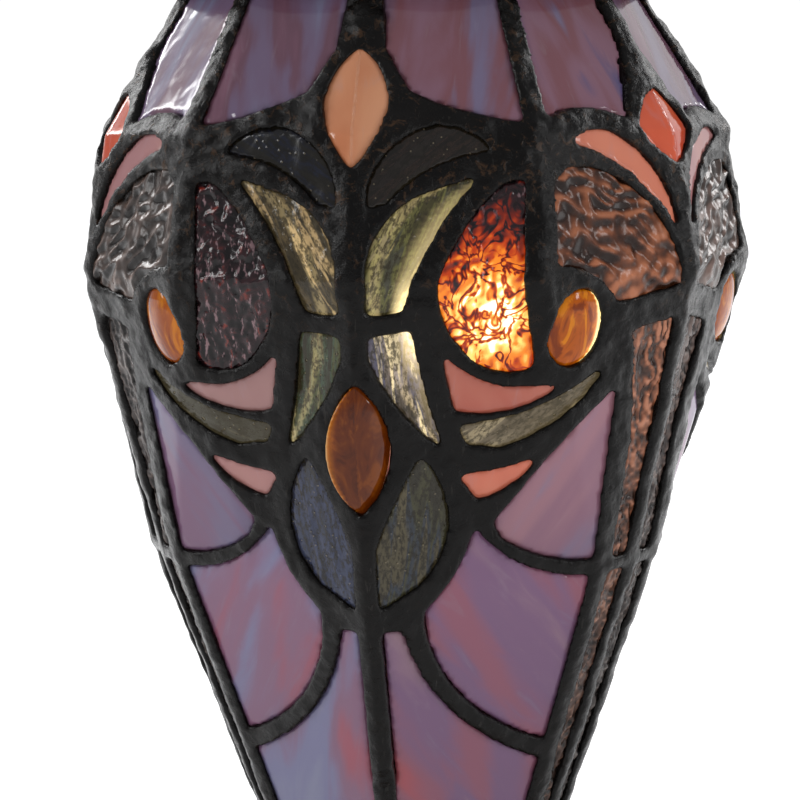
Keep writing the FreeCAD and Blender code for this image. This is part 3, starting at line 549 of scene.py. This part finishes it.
def solder_metal():
    """Dark patinated solder: near black, with crusty brown specks higher up and rubbed lines."""
    look = Look("patinated_solder")
    spots = look.spots()
    broad = look.noise(spots, 45.0, 3.0, 0.55)
    fine = look.noise(spots, 520.0, 5.0, 0.7)
    colour = look.ramp(broad, [(0.3, "070504"), (0.55, "0b0806"), (0.8, "13100e")])
    crust = look.noise(spots, 330.0, 5.0, 0.75, 0.6)
    share = look.ramp(crust, [(0.54, 0.0), (0.66, 0.75)])
    height = look.ramp(look.value("upness"), [(0.35, 0.05), (0.7, 1.0)])
    colour = look.mix(look.sum("MULTIPLY", share, height), colour, "4c3624")
    scratch = look.noise(look.spots(stretch=(1, 1, 0.12)), 900.0, 2.0, 0.5, 0.5)
    lines = look.ramp(scratch, [(0.66, 0.0), (0.72, 0.16)])
    colour = look.mix(lines, colour, "57544f")
    look.drive("Base Color", colour)
    look.set("Specular IOR Level", 0.24)
    look.drive("Roughness", look.ramp(fine, [(0.3, 0.08), (0.75, 0.34)]))
    rough = look.bump(fine, 0.3 * MM, 0.55)
    look.drive("Normal", look.bump(crust, 0.6 * MM, 0.55, rough))
    return look.material


def cast_bronze():
    """Dark bronze patina, rubbed brighter on the crests, greenish in the hollows."""
    look = Look("cast_bronze")
    spots = look.spots()
    broad = look.noise(spots, 26.0, 4.0, 0.6)
    fine = look.noise(spots, 380.0, 4.0, 0.65)
    colour = look.ramp(broad, [(0.3, "241a12"), (0.55, "38281a"), (0.8, "4a3824")])
    colour = look.mix(look.ramp(look.value("relief"), [(0.5, 0.0), (1.0, 0.75)]), colour, "8a6436")
    hollow = look.ramp(look.value("relief"), [(0.0, 0.6), (0.35, 0.0)])
    colour = look.mix(hollow, colour, "1c211a")
    look.drive("Base Color", colour)
    look.set("Metallic", 0.9)
    look.drive("Roughness", look.ramp(fine, [(0.3, 0.32), (0.75, 0.52)]))
    look.drive("Normal", look.bump(fine, 0.2 * MM, 0.5))
    return look.material


def plain_metal(name, dark, light, roughness, thread=None):
    """Worked metal: cloudy tone, fine marks, and a thread of that pitch in mm if one is asked for."""
    look = Look(name)
    scale = 90.0
    spots = look.spots()
    cloud = look.noise(spots, scale, 4.0, 0.6)
    colour = look.ramp(cloud, [(0.3, dark), (0.7, light)])
    look.drive("Base Color", colour)
    look.set("Metallic", 1.0)
    marks = look.noise(spots, scale * 9, 3.0, 0.6)
    look.drive("Roughness", look.ramp(marks, [(0.3, roughness), (0.7, roughness + 0.18)]))
    bumps = look.bump(marks, 0.05 * MM, 0.5)
    if thread:
        wave = look.node("TexWave", wave_type="BANDS", bands_direction="Z")
        look.feed(wave, "Vector", look.spots())
        bands_per_unit = 0.314
        wave.inputs["Scale"].default_value = bands_per_unit / (thread * MM)
        bumps = look.bump(wave.outputs["Fac"], 0.5 * thread * MM, 1.0, bumps)
    look.drive("Normal", bumps)
    return look.material


def moulded(name, dark, light, roughness):
    """Moulded plastic or bushing: faint mottling and a fine grain."""
    look = Look(name)
    scale = 260.0
    cloud = look.noise(look.spots(), scale, 4.0, 0.6)
    look.drive("Base Color", look.ramp(cloud, [(0.3, dark), (0.7, light)]))
    look.drive("Roughness", look.ramp(cloud, [(0.3, roughness), (0.7, roughness + 0.15)]))
    grain = look.noise(look.spots(), scale * 5, 3.0, 0.6)
    look.drive("Normal", look.bump(grain, 0.05 * MM, 0.6))
    return look.material


def felt_cloth():
    """Pressed green-black felt with a fuzzy nap."""
    look = Look("felt")
    fibres = look.noise(look.spots(), 1500.0, 5.0, 0.8, 1.5)
    look.drive("Base Color", look.ramp(fibres, [(0.3, "10160f"), (0.7, "2a3527")]))
    look.set("Roughness", 0.95)
    look.set("Sheen Weight", 0.6)
    look.drive("Normal", look.bump(fibres, 0.3 * MM, 0.9))
    return look.material


def lit_bulb():
    """The lit envelope, faintly clouded."""
    look = Look("bulb_envelope")
    veil = look.noise(look.spots(), 120.0, 2.0)
    look.drive("Base Color", look.ramp(veil, [(0.2, "fff2dc"), (0.8, "ffffff")]))
    look.set("Roughness", 0.2)
    look.drive("Emission Color", look.ramp(veil, [(0.2, "ffc07a"), (0.8, "ffd9a4")]))
    look.set("Emission Strength", 30.0)
    return look.material


def glowing_wire():
    """The hot filament."""
    look = Look("filament_wire")
    grain = look.noise(look.spots(), 900.0, 2.0)
    look.drive("Base Color", look.ramp(grain, [(0.2, "ffb060"), (0.8, "ffe0b0")]))
    look.drive("Emission Color", look.ramp(grain, [(0.2, "ffb060"), (0.8, "ffe0b0")]))
    look.set("Emission Strength", 60.0)
    return look.material


# ---------------------------------------------------------------- glass pieces

class Sheet:
    """Where each point of a glass mesh lies on its own face of the lamp."""

    def __init__(self, spots, corner, seed):
        self.corner = corner
        centre = math.pi / 3 if corner else 0.0
        third = 2 * math.pi / 3
        angle = np.arctan2(spots[:, 0], -spots[:, 1])
        self.turn = np.round((angle - centre) / third)
        away = centre + self.turn * third
        self.across = spots[:, 0] * np.cos(away) + spots[:, 1] * np.sin(away)
        self.deep = spots[:, 1] * np.cos(away) - spots[:, 0] * np.sin(away)
        self.up = spots[:, 2] - RING_LEVEL
        self.right = self.across > 0
        self.key = np.stack([self.turn % 3, self.right.astype(float), np.zeros(len(spots))], axis=1)
        self.seed = seed

    def places(self, lean):
        """Flat places for streaks: turned a little and shifted for each piece of glass."""
        tilt = lean * np.where(self.right, 1.0, -1.0) + (hashed(self.key, self.seed) - 0.5) * 0.3
        shift = hashed(self.key, self.seed + 1) * 0.7
        sideways = self.across * np.cos(tilt) - self.up * np.sin(tilt)
        along = self.across * np.sin(tilt) + self.up * np.cos(tilt)
        return np.stack([sideways + shift, self.deep * 0.3 + shift * 2, along + shift], axis=1)

    def tone(self):
        """Near 0 for the left pieces of the front and near 1 for the right ones, by chance behind.

        On the corner faces only the front half of the one at the right is near 1.
        """
        chance = hashed(self.key, self.seed + 2)
        if self.corner:
            front = self.turn <= 0
            side = ((self.turn == 0) & ~self.right).astype(float)
        else:
            front = self.turn == 0
            side = self.right.astype(float)
        return np.where(front, side * 0.9 + chance * 0.1, chance)

    def flat(self):
        """Places on the face as seen square on, across and up."""
        return np.stack([self.across, np.zeros(len(self.up)), self.up], axis=1)


def outward_at(spots):
    """Level unit vectors away from the lamp's axis."""
    outward = spots * np.array([1, 1, 0])
    return outward / np.linalg.norm(outward, axis=1)[:, None]


def glow_at(spots):
    """How strongly the bulb is taken to light the glass there, from the distance and the slant."""
    ray = spots - BULB
    distance = np.linalg.norm(ray, axis=1)
    slant = np.clip(np.sum(ray * outward_at(spots), axis=1) / distance, 0.05, 1)
    return np.clip((FULL_GLOW_REACH / distance) ** 2 * slant, 0, 1.3)


def outer_side(spots, normals):
    """1 on the side of the glass that faces out, 0 on its back and its edges."""
    return np.clip(np.sum(normals * outward_at(spots), axis=1) * 2 - 0.6, 0, 1)


def hammered(sheet, seed):
    """Wormy hammer marks about two millimetres wide."""
    flat = sheet.flat()
    warp = np.stack([lumps(flat, 4 * MM, seed + axis) for axis in range(3)], axis=1)
    places = flat * np.array([1.0, 1.0, 0.6]) + warp * 1.4 * MM
    worms = 1 - np.abs(lumps(places, 2.3 * MM, seed + 5)) * 2.2
    return np.clip(0.5 + 0.35 * worms + 0.25 * lumps(flat, 1.2 * MM, seed + 9), 0, 1)


def wood_marked(sheet, seed):
    """Long soft lumps that lean across the glass, like chopped wood."""
    flat = sheet.flat()
    slant = math.radians(34)
    side = np.where(sheet.right, 1.0, -1.0)
    warp = lumps(flat, 8 * MM, seed) * 2.2 * MM
    places = np.zeros_like(flat)
    along = flat[:, 0] * side * math.cos(slant) + flat[:, 2] * math.sin(slant)
    athwart = flat[:, 2] * math.cos(slant) - flat[:, 0] * side * math.sin(slant)
    places[:, 0] = (along + warp) / (7.5 * MM)
    places[:, 2] = (athwart + warp) / (3.1 * MM)
    long_lumps = 1 - np.abs(lumps(places, 1.0, seed + 1)) * 1.8
    return np.clip(0.5 + 0.4 * long_lumps + 0.2 * lumps(flat, 2.2 * MM, seed + 2), 0, 1)


def barked(sheet, seed):
    """Ragged ridges that run up and down, like bark."""
    flat = sheet.flat()
    warp = lumps(flat, 6 * MM, seed) * 1.8 * MM
    ridges = flat.copy()
    ridges[:, 0] = (flat[:, 0] + warp) / (1.9 * MM)
    ridges[:, 2] = flat[:, 2] / (5.5 * MM)
    coarse = 1 - np.abs(lumps(ridges, 1.0, seed + 1)) * 1.8
    return np.clip(0.45 + 0.4 * coarse + 0.25 * lumps(flat, 1.1 * MM, seed + 2), 0, 1)


def seedy(sheet, seed):
    """Lengthwise rolls with small pits."""
    flat = sheet.flat()
    rolls = flat.copy()
    rolls[:, 0] = flat[:, 0] / (3.2 * MM)
    rolls[:, 2] = flat[:, 2] / (14 * MM)
    pit_size = 0.28
    pits = np.clip(1 - dimples(flat, 2.6 * MM, seed) / pit_size, 0, 1)
    return np.clip(0.5 + 0.4 * lumps(rolls, 1.0, seed + 3) - 0.5 * pits, 0, 1)


def wavy(sheet, seed):
    """The faint swell of rolled sheet glass."""
    return 0.5 + 0.5 * lumps(sheet.flat(), 13 * MM, seed)


def slope_at(spots, normals):
    """How far each spot of a lumpy surface leans away from the bulb, about -1 to 1."""
    outward = outward_at(spots)
    away = spots - BULB
    away -= np.sum(away * outward, axis=1)[:, None] * outward
    away /= np.linalg.norm(away, axis=1).clip(1 * MM)[:, None]
    return np.sum(normals * away, axis=1)


def bulb_glare_at(spots):
    """Painted glare of the bulb: two fixed bright patches on the front, a large one in the eye and a
    small one beside it.
    """
    beside = PAINTED_GLARE_SPOT + np.array([-19, 0, 0]) * MM
    places = ((PAINTED_GLARE_SPOT, 16 * MM), (beside, 9 * MM))
    squat = np.array([1, 1, 0.8])
    return np.max([np.exp(-(np.linalg.norm((spots - place) * squat, axis=1) / reach) ** 2)
                   for place, reach in places], axis=0)


def share_across(sheet, whole=False):
    """0 at the left border and 1 at the right one, at each level; whole joins the two halves."""
    level = np.round(sheet.up / (1.5 * MM)).astype(int)
    half = np.zeros(len(level)) if whole else sheet.key[:, 1]
    part = (sheet.key[:, 0] * 2 + half).astype(int) * 1000 + level - level.min()
    left = np.full(part.max() + 1, np.inf)
    right = np.full(part.max() + 1, -np.inf)
    np.minimum.at(left, part, sheet.across)
    np.maximum.at(right, part, sheet.across)
    return (sheet.across - left[part]) / (right[part] - left[part]).clip(1 * MM)


def glass_piece(node, material, slot, pattern, height, voxel, corner=False, lean=0.0):
    """All the copies of one glass shape, with its surface relief and what its material reads."""
    seed = sum(ord(letter) for letter in node)
    mesh = remeshed(joined_mesh(node + "_sheet", [node]), voxel)
    smoothed(mesh, 2, 0.4)
    spots = spots_of(mesh)
    normals = normals_of(mesh)
    sheet = Sheet(spots, corner, seed)
    relief = pattern(sheet, seed)
    front = outer_side(spots, normals)
    push = (relief - 0.5) * height * (0.25 + 0.75 * front)
    put_spots(mesh, spots + normals * push[:, None])
    bumpy = normals_of(mesh)
    keep_values(mesh, "sheet", sheet.places(lean))
    keep_values(mesh, "tone", sheet.tone())
    keep_values(mesh, "relief", relief)
    # The slope, glow and glare values below feed the painted light and shade of the glass materials.
    keep_values(mesh, "slope", slope_at(spots, bumpy) - slope_at(spots, normals))
    keep_values(mesh, "glow", glow_at(spots))
    keep_values(mesh, "bulb_glare", bulb_glare_at(spots))
    keep_values(mesh, "rim", share_across(sheet))
    piece(node + "_sheet", mesh, material, slot, "lamp", node)


def glass_materials():
    """One material for each kind of glass, with colours for left pieces and then for right ones."""
    mauve = opal_glass(
        "mauve_glass",
        [(0.1, "7a7e98"), (0.38, "70607a"), (0.62, "6c4c5c"), (0.9, "7e5868")],
        [(0.1, "5c5680"), (0.36, "8c6676"), (0.62, "84565e"), (0.9, "7a7290")], 0.35)
    rose = opal_glass(
        "rose_glass",
        [(0.1, "a05464"), (0.35, "86627c"), (0.6, "7c7c9e"), (0.9, "868aa4")],
        [(0.1, "b05a62"), (0.35, "9a6072"), (0.62, "846080"), (0.9, "a07c88")], 0.35, 10.0, 55.0)
    side = opal_glass(
        "lavender_glass",
        [(0.1, "6c7294"), (0.4, "726682"), (0.65, "7a5c76"), (0.9, "70749a")],
        [(0.1, "80748e"), (0.4, "906a7c"), (0.7, "a07682"), (0.9, "7a7a96")], 0.35, 10.0, 50.0)
    peach = opal_glass("peach_glass", [(0.2, "c07a54"), (0.8, "d49872")],
                       [(0.2, "c27c56"), (0.8, "d69a74")], 0.6, 20.0, 50.0)
    pink = opal_glass("pink_glass", [(0.2, "967070"), (0.8, "a27e7c")],
                      [(0.2, "ac5644"), (0.8, "b66a58")], 0.5, 20.0, 40.0)
    coral = opal_glass("coral_glass", [(0.2, "9a7478"), (0.8, "a8807e")],
                       [(0.2, "cc7258"), (0.8, "d68468")], 0.6, 20.0, 40.0)
    red = opal_glass("red_glass", [(0.2, "b4442a"), (0.8, "c8603e")],
                     [(0.2, "b84026"), (0.8, "cc5c3e")], 0.7, 24.0, 50.0)
    navy = streaky_glass("navy_glass",
                         [(0.2, "04060c"), (0.5, "0c1428"), (0.8, "06080c")],
                         [(0.2, "141012"), (0.5, "2a1e18"), (0.8, "181418")], 0.02, 0.1, bumps=0.3)
    leaf = streaky_glass("leaf_glass",
                         [(0.1, "2c241a"), (0.35, "5a4832"), (0.6, "40382a"), (0.9, "8c6e50")],
                         [(0.1, "3c3c20"), (0.35, "70703c"), (0.6, "40443a"), (0.9, "b0a060")],
                         0.1, 3.0, (0.5, 0.18))
    teal = streaky_glass("teal_leaf_glass",
                         [(0.1, "141e18"), (0.35, "2e4a3c"), (0.6, "444e2a"), (0.9, "223a30")],
                         [(0.1, "4c4034"), (0.35, "80726a"), (0.6, "5a5a78"), (0.9, "a89c84")],
                         0.1, 1.8, (0.42, 0.45))
    tan = streaky_glass("tan_glass",
                        [(0.1, "22241e"), (0.5, "343630"), (0.9, "4a463c")],
                        [(0.1, "443a2e"), (0.5, "6a5e4e"), (0.9, "8a7e6a")], 0.15, 0.4)
    blue = streaky_glass("blue_glass",
                         [(0.1, "1e2538"), (0.4, "303a58"), (0.65, "3c4460"), (0.9, "282c3c")],
                         [(0.1, "2a2a24"), (0.4, "44442e"), (0.65, "2e3846"), (0.9, "504a38")],
                         0.05, 0.2, bumps=0.7)
    # The grey left set of the fan is partly the glass's own colour and partly a painted white
    # reflection at a glancing angle.
    fan = relief_glass("fan_glass", ("1c1816", "47403c", "7a6e68"),
                       ("0e0806", "40281e", "825c48"), 0.7)
    bark = relief_glass("bark_glass", ("1a1817", "45403e", "7c7672"),
                        ("1a1310", "4c3a32", "907262"), 0.6, 0.8)
    return {
        "mauve": mauve, "rose": rose, "side": side, "peach": peach, "pink": pink, "coral": coral,
        "red": red, "navy": navy, "leaf": leaf, "teal": teal, "tan": tan, "blue": blue,
        "eye": eye_glass(), "fan": fan, "bark": bark, "amber": jewel_glass(),
    }


def make_glass():
    """Every shape of glass: its material, slot, surface, depth of relief and grain of mesh."""
    look = glass_materials()
    glass_piece("shoulder_glass", look["mauve"], "mauve_glass", wavy, 0.2 * MM, 1.2 * MM, lean=0.15)
    glass_piece("corner_shoulder_glass", look["mauve"], "mauve_glass", wavy, 0.2 * MM, 1.2 * MM,
                True, 0.1)
    glass_piece("upper_side_glass", look["side"], "mauve_glass", wavy, 0.25 * MM, 1.2 * MM, lean=0.6)
    glass_piece("middle_side_glass", look["rose"], "rose_glass", wavy, 0.25 * MM, 1.3 * MM, lean=-0.45)
    glass_piece("bottom_glass", look["rose"], "rose_glass", wavy, 0.25 * MM, 1.3 * MM, lean=-0.3)
    glass_piece("crown_diamond", look["peach"], "peach_glass", wavy, 0.15 * MM, 0.9 * MM)
    glass_piece("pink_crescent", look["coral"], "pink_glass", wavy, 0.15 * MM, 0.9 * MM, True)
    glass_piece("upper_wedge", look["pink"], "pink_glass", wavy, 0.15 * MM, 0.9 * MM)
    glass_piece("lower_wedge", look["coral"], "pink_glass", wavy, 0.15 * MM, 0.9 * MM)
    glass_piece("red_diamond", look["red"], "red_glass", wavy, 0.15 * MM, 0.9 * MM, True)
    glass_piece("brow_glass", look["navy"], "navy_glass", seedy, 0.5 * MM, 0.8 * MM, lean=0.9)
    glass_piece("upper_leaf", look["leaf"], "leaf_glass", seedy, 0.9 * MM, 0.7 * MM, lean=0.35)
    glass_piece("lower_leaf", look["teal"], "leaf_glass", seedy, 0.9 * MM, 0.7 * MM, lean=-0.15)
    glass_piece("cheek_glass", look["tan"], "leaf_glass", seedy, 0.6 * MM, 0.8 * MM, lean=1.1)
    glass_piece("bowl_glass", look["blue"], "blue_glass", seedy, 0.6 * MM, 0.8 * MM, lean=0.2)
    glass_piece("eye_glass", look["eye"], "hammered_glass", hammered, 1.0 * MM, 0.6 * MM)
    glass_piece("fan_glass", look["fan"], "hammered_glass", wood_marked, 1.8 * MM, 0.6 * MM, True)
    glass_piece("upper_strip_glass", look["bark"], "bark_glass", barked, 1.1 * MM, 0.55 * MM, True)
    glass_piece("lower_strip_glass", look["bark"], "bark_glass", barked, 1.1 * MM, 0.55 * MM, True)
    jewel_piece("centre_jewel", look["amber"])
    jewel_piece("corner_jewel", look["amber"], True)


def jewel_piece(node, material, corner=False):
    """Polished domes; relief, here a painted rim light, grows towards the border that the light leaves
    by.
    """
    seed = sum(ord(letter) for letter in node)
    mesh = remeshed(joined_mesh(node + "_dome", [node]), 0.5 * MM)
    smoothed(mesh, 6, 0.5)
    spots = spots_of(mesh)
    sheet = Sheet(spots, corner, seed)
    share = share_across(sheet, whole=not corner)
    if corner:
        rim = np.clip((share - 0.7) / 0.25, 0, 1) * np.where(sheet.turn == 0, 1.0, 0.4)
    else:
        rim = 0.6 * np.clip((0.22 - share) / 0.2, 0, 1)
    keep_values(mesh, "sheet", sheet.places(0.0))
    # The centre jewel takes the dark set of painted shade; corner jewels lean to the bright set of
    # painted light.
    keep_values(mesh, "tone", 0.55 + 0.45 * sheet.tone() if corner else np.full(len(spots), 0.12))
    keep_values(mesh, "relief", rim)
    keep_values(mesh, "glow", glow_at(spots))
    piece(node + "_dome", mesh, material, "amber_jewel", "lamp", node)


# ---------------------------------------------------------------- solder and castings

def make_solder():
    """One soldered network in place of the leadwork's blocks, beaded and lumpy."""
    names = ["shoulder_leadwork", "belt_leadwork", "waist_leadwork", "lower_leadwork"]
    mesh = remeshed(joined_mesh("solder_network", names), 0.75 * MM)
    smoothed(mesh, 5, 0.55)
    spots = spots_of(mesh)
    normals = normals_of(mesh)
    front = outer_side(spots, normals)
    drips = spots * np.array([1, 1, 0.8])
    height = 0.6 * lumps(drips, 7.5 * MM, 3)
    height = height + 0.3 * lumps(spots, 3.2 * MM, 4) + 0.12 * lumps(spots, 1.5 * MM, 5)
    upness = np.clip((spots[:, 2] - RING_LEVEL + 60 * MM) / (130 * MM), 0, 1)
    lumpy = (0.7 + 0.6 * upness) * MM
    push = 0.14 * MM + 0.2 * MM * lumps(spots, 3.4 * MM, 6) + front * (0.12 * MM + height * lumpy)
    put_spots(mesh, spots + normals * push[:, None])
    keep_values(mesh, "relief", np.clip(0.5 + height, 0, 1))
    keep_values(mesh, "upness", upness)
    piece("solder_network", mesh, solder_metal(), "leadwork", "lamp", *names)


def cast_piece(node, body, material, voxel, pattern):
    """A casting with its ornament raised on the copied solid."""
    mesh = remeshed(joined_mesh(node + "_casting", [node]), voxel)
    smoothed(mesh, 2, 0.4)
    spots = spots_of(mesh)
    normals = normals_of(mesh)
    raised, tall = pattern(spots, normals)
    skin = lumps(spots, 4 * MM, 11) * 0.06 * MM
    put_spots(mesh, spots + normals * (raised * tall + skin)[:, None])
    keep_values(mesh, "relief", np.clip(0.25 + raised * 0.75 + lumps(spots, 7 * MM, 12) * 0.1, 0, 1))
    piece(node + "_casting", mesh, material, "cast_bronze", body, node)


def band(values, low, high, soft):
    """1 between low and high, falling to 0 over a soft margin."""
    return np.clip((values - low) / soft, 0, 1) * np.clip((high - values) / soft, 0, 1)


def round_places(spots):
    """Angle round the lamp's axis and distance from it."""
    return np.arctan2(spots[:, 1], spots[:, 0]), np.hypot(spots[:, 0], spots[:, 1])


def foot_ornament(spots, normals):
    """Twelve overlapping petals on the sweep and a row of beads round the plinth."""
    angle, radius = round_places(spots)
    petal = np.abs(np.cos(angle * 6)) ** 0.6
    reach = (radius - 34 * MM) / (30 * MM)
    tip = np.clip((petal * 1.15 - reach) / 0.12, 0, 1)
    upward = np.clip(normals[:, 2] * 3, 0, 1)
    sweep = band(radius, 34 * MM, 67 * MM, 2 * MM) * upward
    vein = 1 - 0.5 * np.clip(1 - np.abs(np.sin(angle * 6)) / 0.12, 0, 1)
    beads = np.clip(np.cos(angle * 60), 0, 1) ** 0.5 * band(radius, 70 * MM, 78 * MM, 1.5 * MM) * upward
    beads *= (spots[:, 2] > 20 * MM)
    return np.clip(tip * vein * sweep + beads, 0, 1), 1.3 * MM


def cup_ornament(spots, normals):
    """Upright lobes round the cup."""
    angle, radius = round_places(spots)
    outward = np.clip((normals[:, 0] * np.cos(angle) + normals[:, 1] * np.sin(angle)) * 2, 0, 1)
    side = band(spots[:, 2], 61 * MM, 76 * MM, 2 * MM) * outward * (radius > 32 * MM)
    return np.abs(np.cos(angle * 9)) ** 0.5 * side, 1.0 * MM


def cap_ornament(spots, normals):
    """Twelve petals between the vents, and a rope of beads along the edge."""
    angle, radius = round_places(spots)
    upward = np.clip(normals[:, 2] * 3, 0, 1)
    petal = np.abs(np.sin(angle * 6)) ** 0.6
    tip = np.clip((petal * 1.1 - (radius - 15 * MM) / (27 * MM)) / 0.12, 0, 1)
    inner = tip * band(radius, 15 * MM, 45 * MM, 1.5 * MM) * upward
    beads = np.clip(np.cos(angle * 54), 0, 1) ** 0.5 * band(radius, 64 * MM, 70 * MM, 1.2 * MM) * upward
    return np.clip(inner + beads, 0, 1), 1.0 * MM


def finial_ornament(spots, normals):
    """Eight flutes on the finial's round belly."""
    low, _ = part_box("finial")
    angle, _ = round_places(spots)
    outward = np.clip(normals[:, 0] * np.cos(angle) + normals[:, 1] * np.sin(angle), 0, 1)
    belly = band(spots[:, 2] - low.z, 7.5 * MM, 25 * MM, 2 * MM)
    return np.abs(np.cos(angle * 4)) ** 0.5 * belly * outward, 0.9 * MM


def make_castings():
    bronze = cast_bronze()
    cast_piece("foot", "lamp", bronze, 1.1 * MM, foot_ornament)
    cast_piece("cup", "lamp", bronze, 0.9 * MM, cup_ornament)
    cast_piece("cap", "cap_body", bronze, 1.0 * MM, cap_ornament)
    cast_piece("finial", "finial_body", bronze, 0.6 * MM, finial_ornament)


# ---------------------------------------------------------------- fittings that keep their solids

def dress(material, *names):
    """Give the frame's own nodes a material."""
    for name in names:
        slots = nodes[name].data.materials
        slots.clear()
        slots.append(material)


def make_fittings():
    brass = plain_metal("aged_brass", "6a4c20", "b08a48", 0.22)
    zinc = plain_metal("zinc_steel", "8a8c90", "c4c6ca", 0.25)
    thread = plain_metal("threaded_steel", "777777", "b0b0b0", 0.25, thread=1.0)
    dress(brass, "cap_washer", "inlet_nut", "switch_nut", "switch_spindle", "socket_sleeve",
          "socket_contact", "bulb_base")
    dress(zinc, "base_plate", "base_screws", "stem_washer", "foot_nut", "cup_nut", "socket_bracket",
          "bracket_screw")
    dress(thread, "lamp_pipe")
    dress(plain_metal("rim_solder", "1b1918", "3a3632", 0.35), "top_rim")
    dress(plain_metal("solder_tip", "8a8a88", "b8b8b4", 0.3), "bulb_contact")
    dress(felt_cloth(), "felt_ring")
    dress(moulded("black_bushing", "0c0c0c", "1c1c1c", 0.35), "inlet_bushing")
    dress(moulded("lead_insulation", "1c120c", "2c1d14", 0.4), "inlet_lead", "switched_lead")
    dress(moulded("phenolic", "1d100b", "33201a", 0.3), "switch_body", "socket_body")
    dress(moulded("knob_black", "0b0a09", "181615", 0.25), "switch_knob")
    dress(moulded("clear_stem", "c8ccc8", "f0f4f0", 0.1), "filament_stem")
    dress(lit_bulb(), "bulb_glass")
    dress(glowing_wire(), "filament")


make_camera()
make_world()
make_light()
make_floor()
make_glass()
make_solder()
make_castings()
make_fittings()
